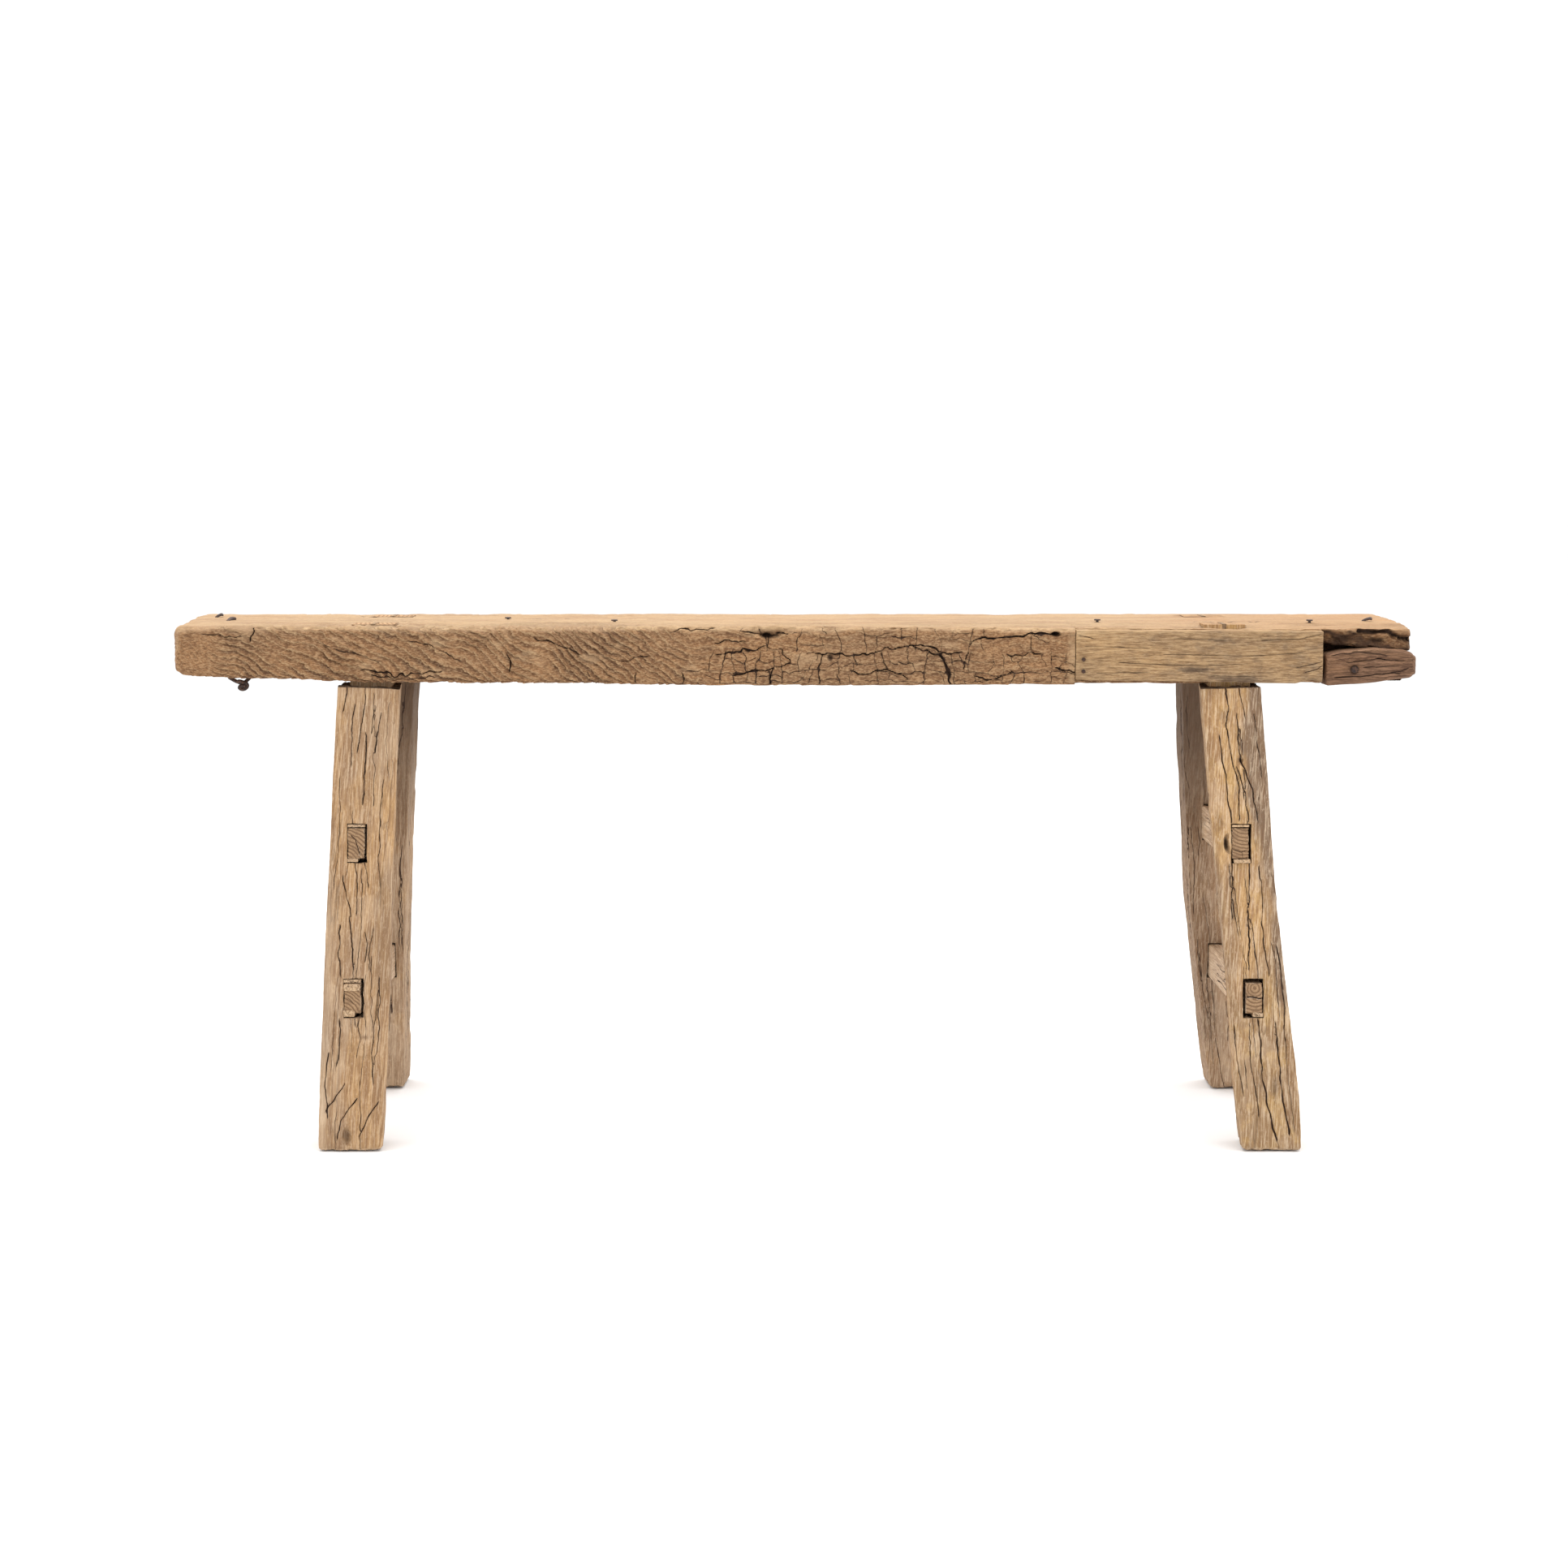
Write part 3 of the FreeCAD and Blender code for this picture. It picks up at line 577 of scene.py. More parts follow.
def plankRings(points):
    # growth rings counted outwards, running down to the right across the left half of the front and calmer
    # elsewhere: gives the count, and how strongly they show as ridges
    x, y, z = points.T
    frontness = np.clip((-20 - y) / 60, 0, 1)
    sideways = np.interp(x, (-574, -530, -300, -90, 20, 574), (0, 45, 185, 350, 375, 420)) * frontness
    bend = 13 * roughness(points * (1, 0.4, 1.3), 75, 61, 2) + 6.5 * roughness(points, 24, 62, 3)
    bend = bend + 1.3 * roughness(points, 7, 63)
    strength = np.interp(x, (-574, -520, -460, -150, -60, 574), (0.3, 0.55, 1, 0.95, 0.4, 0.55))
    strength = strength * (0.4 + 0.6 * frontness)
    strength *= np.clip(0.95 + 1.1 * roughness(points, 26, 64, 3), 0.2, 1.3)
    return (np.hypot(y + 10, z - 296) + sideways * 0.75 + bend) / 7.2, strength


def makeSeat():
    xs = stations((-574.4, -75, 500), (-75, 261, 340), (261, 261.4, 1), (261.4, 488.3, 58), (488.3, 488.7, 1),
                  (488.7, 574.4, 80))
    ys = stations((-90, -78, 6), (-78, 78, 22), (78, 90, 4))
    zs = stations((426, 480, 50))
    piece = dividedBlock("seatPlank", (len(xs) - 1, len(ys) - 1, len(zs) - 1))
    u, v, w = readPoints(piece).T
    flat = np.column_stack((placed(u, xs), placed(v, ys), placed(w, zs)))
    radius = 4.0 + 2 * roughness(flat, 50, 1) + np.where(flat[:, 0] < -560, 3, 0) * (flat[:, 1] < 40)
    radius += 3 * ((flat[:, 0] < -555) & (flat[:, 2] < 440))
    radius += ((2.5 + 3.5 * roughness(flat, 24, 18, 2)) * (flat[:, 2] > 455) * (flat[:, 1] < 0)
               * (flat[:, 0] < 255))
    points, out = softened(flat, (seat["left"], seat["front"], seat["low"]),
                           (seat["right"], seat["back"], seat["high"]), np.clip(radius, 1.8, 10))
    x, y, z = points.T
    rings, ridge = plankRings(points)
    # worn surfaces: slow waves, small dents, ragged arrises, and rings standing proud
    wear = (1.4 * np.maximum(roughness(points, 60, 2, 3), 0)
            + 0.5 * (roughness(points * (0.3, 1, 1), 5, 3) + 1))
    saw = (rings + 0.25 * roughness(points, 5, 13)) % 1
    wear += 2.1 * np.where(saw < 0.8, (saw / 0.8) ** 1.6, 1 - (saw - 0.8) / 0.2) * ridge
    wear += 0.35 * (1 + roughness(points, 3, 14, 2)) * (out[:, 1] < -0.4)
    edge = np.clip((1 - np.abs(out).max(axis=1)) * 3.2, 0, 1)
    wear += edge * (2.6 * np.maximum(roughness(points, 11, 4, 3), 0)
                    + 1.2 * np.maximum(roughness(points, 4, 5, 2), 0))
    isFront = (out[:, 1] < -0.5) & (x < 261.2)
    depth, side, half = splits(points, x, z, seatCracks + checks(31, -96, 262, 422, 457, 0.42, 13, 10)
                               + checks(32, -60, 262, 457, 482, 0.34, 22, 11), 4.2, 7, 3.0)
    area = np.interp(x, (-150, -80, -40, 235, 262), (0, 0.75, 1, 0.95, 0.5)) * isFront
    level = area * 0.9 * (roughness(points, 13, 74) + 0.5 * roughness(points, 6, 75))
    depth = (depth + level) * isFront
    chips = (np.clip(roughness(points, 14, 9, 3) - 0.12, 0, 1) * 4.5 * isFront
             * np.clip((x + 90) / 60, 0.12, 1))
    near = out[:, 1] < -0.2
    ragged = 1 + 0.45 * roughness(points, 6, 12, 2)
    pocket = np.clip(1.25 - ragged * np.hypot((x + 20) / 20, (z - 474.5) / 5), 0, 1) * near
    droop = z - 472 + 0.12 * np.abs(x + 20)
    core = np.clip(2.4 - 1.8 * ragged * np.hypot((x + 20.5) / 6.5, droop / 3.2), 0, 1) * near
    far = np.clip(2.4 - 1.8 * ragged * np.hypot((x - 243) / 3.4, (z - 474) / 2.2), 0, 1) * near
    bore = np.clip(1.3 - np.hypot((x - 37) / 2.4, (z - 451.5) / 3.4), 0, 1) * near
    dirt = np.maximum(core, np.maximum(far, np.clip(0.8 * pocket - 0.2, 0, 0.5)))
    dirt = np.maximum(dirt, np.clip(bore * 1.2, 0, 0.85))
    top, under, behind = out[:, 2] > 0.8, out[:, 2] < -0.8, out[:, 1] > 0.8
    topDepth, topSide, topHalf = splits(points, x, y, shakes(3, 4, -560, 560, -60, 80), 2.4, 21)
    lowDepth, lowSide, lowHalf = splits(points, x, y, shakes(4, 26, -560, 560, -80, 80), 2.4, 23)
    backDepth, backSide, backHalf = splits(points, x, z, shakes(6, 22, -560, 560, 430, 476), 2.0, 25)
    side, half = joined((side, half, isFront), (topSide, topHalf, top), (lowSide, lowHalf, under),
                        (backSide, backHalf, behind))
    points = points - out * wear[:, None]
    points[:, 1] += depth + chips * 0.8 + pocket * 5 + core * 8 + far * 7 + bore * 3 - backDepth * behind
    points[:, 2] += lowDepth * under - topDepth * top - pocket * 3 * (z > 473)
    x, y, z = points.T
    # the worn front falls a little to the right, and the underside rises at the left end
    lean = np.clip((x - 60) / 330, 0, 1) * np.clip((0 - y) / 90, 0, 1) * w
    z -= 3.2 * lean
    z += (np.interp(x, *seat["underside"]) - 426.8) * (1 - w)
    x += np.clip((-500 - x) / 74, 0, 1) * (np.interp(y, *seat["leftEnd"]) + 574.4)
    x += np.clip((x - 500) / 74, 0, 1) * (np.interp(y, *seat["rightEnd"]) - 574.4)
    # recess for the slip, and the stepped end that the block fits under
    slip = ((x > seat["slipFrom"]) & (x < seat["slipTo"])) * (1 - v)
    y += slip * seat["slipDepth"]
    end = (x > seat["slipTo"]) * (1 - v)
    lipLow = 465 - 6 * np.clip((x - 490) / 74, 0, 1) + 1.2 * roughness(points, 10, 31)
    path = w * 82
    pathY = np.where(path < 34, seat["stepBack"],
                     np.where(path < 64, seat["stepBack"] - (path - 34), seat["lipFront"]))
    lipFace = np.where(path < 64, lipLow, lipLow + (path - 64) / 18 * (480 - lipLow))
    pathZ = np.where(path < 34, 426 + path / 34 * (lipLow - 426), lipFace)
    y += (pathY - seat["front"]) * end
    z += (pathZ - (426 + w * 54)) * end
    lip = end * np.clip((path - 40) / 10, 0, 1)
    y += lip * (2.8 + 6 * roughness(points * (0.6, 1, 1), 10, 33, 3) + 5 * np.clip((500 - x) / 12, 0, 1))
    wavy = 2.2 * roughness(points, 7, 34, 2)
    groove = towards([(524, 474.5), (536, 472), (548, 473), (558, 469), (571, 467)], x + wavy, z + wavy)[0]
    cleft = np.clip(1.9 - groove / 1.5, 0, 1) * (end > 0.9) * (path > 62)
    y += cleft * 5
    dirt = np.maximum(dirt, cleft)
    rise = np.clip((path - 62) / 20, 0, 1)
    hollow = np.clip(1.15 - 1.0 * rise, 0, 1) * (end > 0.9) * np.clip((556 - x) / 60, 0.35, 1) * (path > 60)
    y += hollow * 6
    # painted shade: the stepped recess under the lip and the lower part of the lip face are darkened, less up
    # the face and towards the right end
    mottle = 0.8 * roughness(points * (0.5, 1, 1), 6, 35, 3)
    shade = ((1.5 - 1.2 * rise - 0.35 * np.clip((x - 505) / 60, 0, 1) + mottle * 1.6) * (end > 0.5)
             * (path < 81))
    dirt = np.maximum(dirt, np.clip(shade, 0, 0.92))
    writePoints(piece, np.column_stack((x, y, z)) * mm)
    setCracks(piece, side, half * (end < 0.5) - 1.0 * (end >= 0.5))
    setAttribute(piece, "dirt", dirt)
    setAttribute(piece, "phase", rings)
    setAttribute(piece, "flow", np.clip(ridge * 1.15, 0, 1))
    rubbed = np.clip(top * 1.0 + edge * 0.75 * (w > 0.5) + 0.6 * np.clip(out[:, 2], 0, 1), 0, 1)
    rubbed *= 1 - 0.45 * np.clip(-roughness(points, 5, 15, 2) * edge * 4, 0, 1)
    bright = np.clip(roughness(points * (0.45, 1, 1), 13, 17, 3) * 3.2 - 0.7, 0, 1) * 0.6 * isFront
    bright = np.maximum(bright, 0.7 * isFront * np.clip((x - 253) / 5, 0, 1) * (end < 0.5))
    rim = np.clip(1 - np.abs(pocket - 0.35) / 0.25, 0, 1) * 0.5
    setAttribute(piece, "worn", np.clip(rubbed + bright + rim, 0, 1))
    marks = np.clip(roughness(points * (0.4, 1, 1), 26, 16, 3) * 3 - 0.4, 0, 1)
    marks = marks * np.interp(x, (-574, 250, 330, 574), (0.15, 0.2, 0.6, 1))
    marks = marks + 0.5 * np.clip((x - 280) / 200, 0, 1) * (w > 0.5)
    setAttribute(piece, "soak", np.clip(marks, 0, 0.95) * (1 - 0.7 * behind))
    thin(piece, 0.6, (out[:, 1] > -0.3) & (x < 480))
    return piece


def shakes(seed, count, left, right, low, high):
    # long drying cracks along the grain
    draw = random.Random(seed)
    lines = []
    for _ in range(count):
        x, y, run = draw.uniform(left, right), draw.uniform(low, high), draw.uniform(30, 190)
        lines.append((draw.uniform(0.5, 0.95), draw.uniform(0.8, 2.4),
                      [(x, y), (x + run / 2, y + draw.uniform(-3, 3)), (x + run, y + draw.uniform(-4, 4))]))
    return lines


def thin(piece, share, loose):
    # merges faces in the loose region, where the shape is simple, down to a share of their number
    group = piece.vertex_groups.new(name="loose")
    group.add(np.nonzero(loose)[0].tolist(), 1.0, "REPLACE")
    selectOnly(piece)
    fewer = piece.modifiers.new("fewer", "DECIMATE")
    fewer.ratio, fewer.vertex_group, fewer.vertex_group_factor = share, "loose", 1.0
    bpy.ops.object.modifier_apply(modifier=fewer.name)
    piece.vertex_groups.clear()


def boardRings(points, gap, seed):
    # nearly straight rings of a sawn board
    x, y, z = points.T
    bend = (3 * roughness(points * (0.35, 1, 1), 40, seed, 2)
            + 0.6 * roughness(points * (0.3, 1, 1), 9, seed + 1))
    return (np.hypot(y + 30, z - 380) + bend + 0.02 * x) / gap


def makeSlip():
    low, high = (261.35, -90, 426), (488.0, -78, 476)
    piece = dividedBlock("edgeSlip", (190, 8, 48))
    u, v, w = readPoints(piece).T
    flat = np.column_stack((low[0] + u * (high[0] - low[0]), low[1] + v * 12, low[2] + w * 50))
    points, out = softened(flat, low, high,
                           np.where(flat[:, 0] < 266, 0.7, 1.6 + 0.5 * roughness(flat, 20, 41)))
    wear = (0.6 * (roughness(points * (0.2, 1, 1), 6, 42) + 1) * 0.5
            + 0.6 * np.maximum(roughness(points, 30, 43), 0))
    x, y, z = (points - out * wear[:, None]).T
    z += 4 * (1 - w) * np.clip((488 - x) / 226, 0, 1) - 0.8 * w * np.clip((x - 262) / 226, 0, 1)
    chip = np.clip(1 - np.hypot((x - 478) / 16, (z - 424) / 7), 0, 1)
    z += chip * 5 * (1 - w)
    lines = [(0.3, 1.0, [(300, 446), (372, 443), (420, 445)]), (0.25, 0.8, [(268, 461), (330, 459)]),
             (0.3, 1.0, [(385, 434), (428, 433)]), (0.3, 0.8, [(430, 466), (466, 468), (486, 472)]),
             (0.3, 1.2, [(262, 471), (278, 468)]), (0.25, 0.8, [(350, 468), (400, 466)]),
             (0.25, 0.8, [(280, 436), (330, 437)]), (0.3, 0.8, [(462, 441), (476, 444), (488, 447)]),
             (0.3, 0.8, [(470, 436), (482, 440), (488, 444)]),
             (0.25, 0.8, [(340, 454), (420, 452), (470, 455)])]
    depth, side, half = splits(points, x, z, lines, 0.8, 44)
    knot = np.clip(1 - np.hypot((x - 479) / 9, (z - 442) / 5), 0, 1)
    y += (depth - knot * 0.8) * (out[:, 1] < -0.5)
    ragged = 1 + 0.5 * roughness(points, 5, 47, 2)
    stain = np.clip(1.1 - ragged * np.hypot((x - 371) / 19, (z - 439.5) / 2.6), 0, 1)
    stain += 0.75 * np.clip(1 - ragged * np.hypot((x - 415) / 34, (z - 430) / 6), 0, 1) + 0.4 * knot
    stain += 0.25 * np.clip(roughness(points * (0.25, 1, 1), 16, 48, 3) * 2, 0, 1)
    writePoints(piece, np.column_stack((x, y, z)) * mm)
    setCracks(piece, side, np.where(out[:, 1] < -0.5, half, -1))
    filler = np.clip(1.2 - np.hypot((x - 265) / 9, (z - 473) / 5), 0, 1)
    setAttribute(piece, "dirt", np.clip(stain * 1.3 - 0.5, 0, 0.55) * (out[:, 1] < -0.5))
    speckled = 0.9 * np.clip(roughness(points * (0.6, 1, 1), 4, 49, 3) * 2.4, 0, 1)
    speckled = speckled * np.interp(x, (262, 330, 488), (0.15, 0.6, 0.8))
    soaked = np.clip(stain * 1.2 + speckled * 0.6 + 0.25 * (x - 262) / 226, 0, 0.9)
    setAttribute(piece, "soak", soaked * (out[:, 1] < -0.5))
    setAttribute(piece, "worn", np.clip(0.4 * (w > 0.95) + 0.1 + filler, 0, 1))
    setAttribute(piece, "phase", boardRings(points, 2.4, 45))
    setAttribute(piece, "flow", np.clip(0.45 + 0.8 * roughness(points * (0.4, 1, 1), 14, 46, 2), 0, 1))
    return piece


def makeBlock():
    low, high = (490.4, -90, 424), (574.4, -50.3, 460)
    piece = dividedBlock("endBlock", (84, 26, 36))
    u, v, w = readPoints(piece).T
    flat = np.column_stack((low[0] + u * 84, low[1] + v * 39.7, low[2] + w * 36))
    points, out = softened(flat, low, high, 3.2 + 4.5 * np.clip((flat[:, 0] - 535) / 39, 0, 1))
    wear = (0.8 * (roughness(points * (0.3, 1, 1), 8, 51) + 1) * 0.5
            + 0.8 * np.maximum(roughness(points, 22, 52), 0))
    x, y, z = (points - out * wear[:, None]).T
    away = (x - 490.4) / 84
    z += (1 - w) * 8 * away ** 1.4 - w * np.interp(away, (0, 0.2, 0.55, 0.85, 1), (6.5, 3, 0.5, 2.2, 6))
    lines = [(0.45, 1.8, [(497, 432), (520, 433), (560, 437)]),
             (0.4, 1.4, [(508, 446), (540, 450), (564, 447)]), (0.4, 1.2, [(524, 441), (556, 443)]),
             (0.35, 1.0, [(494, 452), (520, 455), (548, 453)]), (0.35, 1.0, [(540, 434), (566, 441)])]
    depth, side, half = splits(points, x, z, lines, 1.6, 53)
    face = out[:, 1] < -0.5
    ring = np.clip(1.3 - np.abs(np.hypot(x - 516.6, z - 439.6) - 3.3) / 0.9, 0, 1) * face
    y += (depth + ring * 0.8) * face
    writePoints(piece, np.column_stack((x, y, z)) * mm)
    setCracks(piece, side, np.where(face, half, -1))
    setAttribute(piece, "dirt", ring * 0.9)
    setAttribute(piece, "worn", np.clip(w - 0.8, 0, 1) * 1.2)
    setAttribute(piece, "phase", boardRings(points, 5, 55))
    setAttribute(piece, "flow", np.clip(0.5 + 0.7 * roughness(points * (0.4, 1, 1), 14, 56, 2), 0, 1))
    return piece


# legs: left and right edges by height, the gap under the seat at the left and the right, hollows, and cracks;
# cracks are (half width, depth, corners), across the leg from its middle and up
legs = {
    "front_left": {"heights": (0, 90, 240, 384, 426), "left": (-435, -431.5, -425.5, -418.5, -416.5),
                   "right": (-372, -367.5, -363, -358, -355.5), "end": -1, "lean": -5.5, "gap": (0.6, 2.8),
                   "heart": (60, 20), "soaked": [(6, 130, 270, 0.45), (-22, 60, 330, 0.5),
                                                 (4, 330, 400, 0.2)],
                   "hollows": [(-4, 14, 5, 9, 3), (21, 296, 3.5, 4, 1.2), (9, 104, 9, 2, 1),
                               (12, 86, 10, 1.6, 0.8)],
                   "cracks": [(0.8, 4, [(-20, 425), (-21, 412), (-23, 399)]),
                              (0.8, 5, [(-3, 426), (-3, 407), (-5, 388), (-8, 362)]),
                              (0.9, 6, [(-1, 383), (1, 365), (0, 348), (-1, 314)]),
                              (0.7, 4, [(12, 401), (10, 384), (8, 362)]),
                              (0.7, 4, [(-12, 410), (-14, 380), (-13, 350)]),
                              (0.6, 3, [(5, 420), (6, 400), (4, 380)]),
                              (1.0, 6, [(-17, 253), (-12, 232), (-8, 214)]),
                              (0.9, 6, [(-7, 266), (-3, 250), (-2, 238), (-3, 214)]),
                              (0.9, 5, [(1, 268), (5, 255), (8, 240)]),
                              (0.9, 6, [(-10, 216), (-6, 190), (-4, 162)]),
                              (0.8, 4, [(-17, 208), (-18, 180), (-15, 158)]),
                              (0.7, 4, [(6, 200), (8, 188), (6, 172)]),
                              (0.6, 3, [(13, 205), (10, 180), (11, 165)]),
                              (0.8, 4, [(3, 122), (4, 105), (2, 84)]),
                              (0.8, 4, [(-15, 122), (-14, 100), (-16, 78)]),
                              (1.0, 6, [(5, 50), (-4, 38), (-10, 28), (-13, 10)]),
                              (0.9, 5, [(25, 46), (14, 30), (7, 12)]),
                              (0.9, 4, [(-7, 64), (-16, 50), (-25, 36)]),
                              (0.7, 3, [(17, 340), (15, 290), (18, 240)]),
                              (0.7, 3, [(20, 150), (16, 90), (19, 60)]),
                              (0.9, 4, [(-24, 92), (-26, 60), (-22, 30)])]},
    "front_right": {"heights": (0, 60, 160, 240, 310, 426), "left": (413, 406.5, 399.5, 391.5, 384.5, 375.5),
                    "right": (471, 468, 455.5, 447, 442, 433.5), "end": -1, "lean": 5, "gap": (2.8, 0.8),
                    "heart": (-20, 70), "soaked": [(6, 300, 400, 0.8), (9, 120, 440, 0.9),
                                                   (-22, 140, 440, 0.5), (-6, 150, 270, 0.35)],
                    "hollows": [(-15.5, 280, 2.6, 8, 7), (4, 356, 2.6, 3.4, 4), (-8, 397, 7, 8, 1.2),
                                (8, 58, 4, 14, 1.4), (-20, 300, 4, 14, 1.6)],
                    "cracks": [(0.9, 6, [(-5, 426), (-4, 403), (-7, 389), (-4, 360), (0, 332), (-2, 300)]),
                               (0.8, 5, [(7, 426), (9, 410), (10, 393)]),
                               (1.1, 7, [(3, 400), (4, 355), (10, 340), (14, 322), (15, 300)]),
                               (0.9, 6, [(-14, 380), (-12, 350), (-11, 331), (-9, 297)]),
                               (0.8, 5, [(0, 352), (4, 330), (7, 300)]),
                               (0.9, 5, [(-11, 266), (-14, 240), (-17, 210)]),
                               (1.0, 6, [(4, 268), (3, 240), (-1, 214), (-6, 165)]),
                               (0.8, 5, [(13, 262), (14, 230), (10, 200), (12, 160)]),
                               (1.3, 8, [(-1, 122), (-1, 100), (-3, 73), (0, 40), (5, 8)]),
                               (1.1, 7, [(13, 120), (14, 60), (17, 14)]),
                               (0.8, 4, [(-24, 118), (-24, 85), (-21, 50)]),
                               (0.7, 4, [(-10, 118), (-12, 80), (-9, 30)]),
                               (0.8, 4, [(22, 190), (24, 150), (21, 100)]),
                               (0.7, 3, [(19, 400), (20, 370), (23, 340)])]},
    "back_left": {"heights": (0, 140, 280, 426), "left": (-441, -437, -431, -416),
                  "right": (-386.5, -381, -372.5, -360.5), "end": 1, "lean": 0, "gap": (0, 0),
                  "heart": (40, -30), "hollows": [], "cracks": [], "soaked": [(-6, 60, 440, 0.5)]},
    "back_right": {"heights": (0, 60, 200, 340, 426), "left": (422.5, 413, 394, 382, 377.5),
                   "right": (478, 468, 449, 437, 433), "end": 1, "lean": 0, "gap": (0, 0),
                   "heart": (-50, -20), "hollows": [], "cracks": [], "soaked": [(-4, 40, 440, 0.5)]},
}
endCracks = {("upper", "left"): [(0.35, 1, [(-6, 8), (-1, 3), (4, -12)])],
             ("lower", "left"): [(0.35, 1, [(-5, 2), (2, -6)])],
             ("upper", "right"): [(0.35, 1, [(-8, -5), (0, -8), (8, -6)]), (0.3, 1, [(1, -8), (2, -14)])],
             ("lower", "right"): [(0.9, 3, [(-14, 0), (-3, 1.5), (4, 0), (14, 0.5)])]}
rails = {}
for level in ("upper", "lower"):
    for side in ("left", "right"):
        low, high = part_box(f"{level}_stretcher_{side}")
        rails[level, side] = {"x": (low[0] + high[0]) / 2 / mm, "z": (low[2] + high[2]) / 2 / mm}
# packings in each front mortise: (left, right, bottom, top) from the middle of the tenon, and how far back from
# the face they stop
packings = {
    ("upper", "left"): [(-8, 8.6, 14.5, 17.6, 0.2), (-8.6, 2, -17.4, -13.6, 0.8)],
    ("lower", "left"): [(-8.4, 8, 14.0, 17.4, 0.2), (-8.2, 7.4, 6.2, 13.4, 0.0),
                        (-8.6, 2.4, -17.4, -10.6, 0.1)],
    ("upper", "right"): [(-7.8, 8.4, 14.6, 17.2, 0.4), (-6.4, 9.2, -18.0, -14.2, -2.2)],
    ("lower", "right"): [(-1.5, 8.6, -17.4, -12.6, 0.3)],
}
# how far each mortise sits to the right of its tenon, and its width
opening = {("upper", "left"): (0.9, 18.4), ("lower", "left"): (1.0, 18.4), ("upper", "right"): (0.9, 18.4),
           ("lower", "right"): (-0.8, 18.8)}


def outerY(height):
    # outer face of a leg, front to back, as a distance from the middle
    return shoulderY + footStep * (1 - height / undersideZ)


def randomSplits(seed, count, half, low, high):
    draw = random.Random(seed)
    lines = []
    for _ in range(count):
        a, h, run = draw.uniform(-half, half), draw.uniform(low, high), draw.uniform(24, 110)
        lines.append((draw.uniform(0.15, 0.42), draw.uniform(0.5, 1.2),
                      [(a, h), (a + draw.uniform(-2, 2), h - run / 2), (a + draw.uniform(-4, 4), h - run)]))
    return lines


def mortise(x, height, width, tall, y0, y1, seed):
    # hand-cut opening through a leg, following the tilt of its stretcher; used as a cutter
    piece = dividedBlock("mortise", (9, 24, 16))
    unit = readPoints(piece)
    points = np.column_stack(((unit[:, 0] - 0.5) * width, y0 + unit[:, 1] * (y1 - y0),
                              (unit[:, 2] - 0.5) * tall))
    rag = np.column_stack((roughness(points, 5, seed, 2), np.zeros(len(points)),
                           roughness(points, 5, seed + 1, 2)))
    points += rag * np.sign(unit - 0.5) * (0.9, 0, 0.9)
    points[:, 0] += x
    points[:, 2] += height - railTilt * points[:, 1]
    writePoints(piece, points * mm)
    return piece


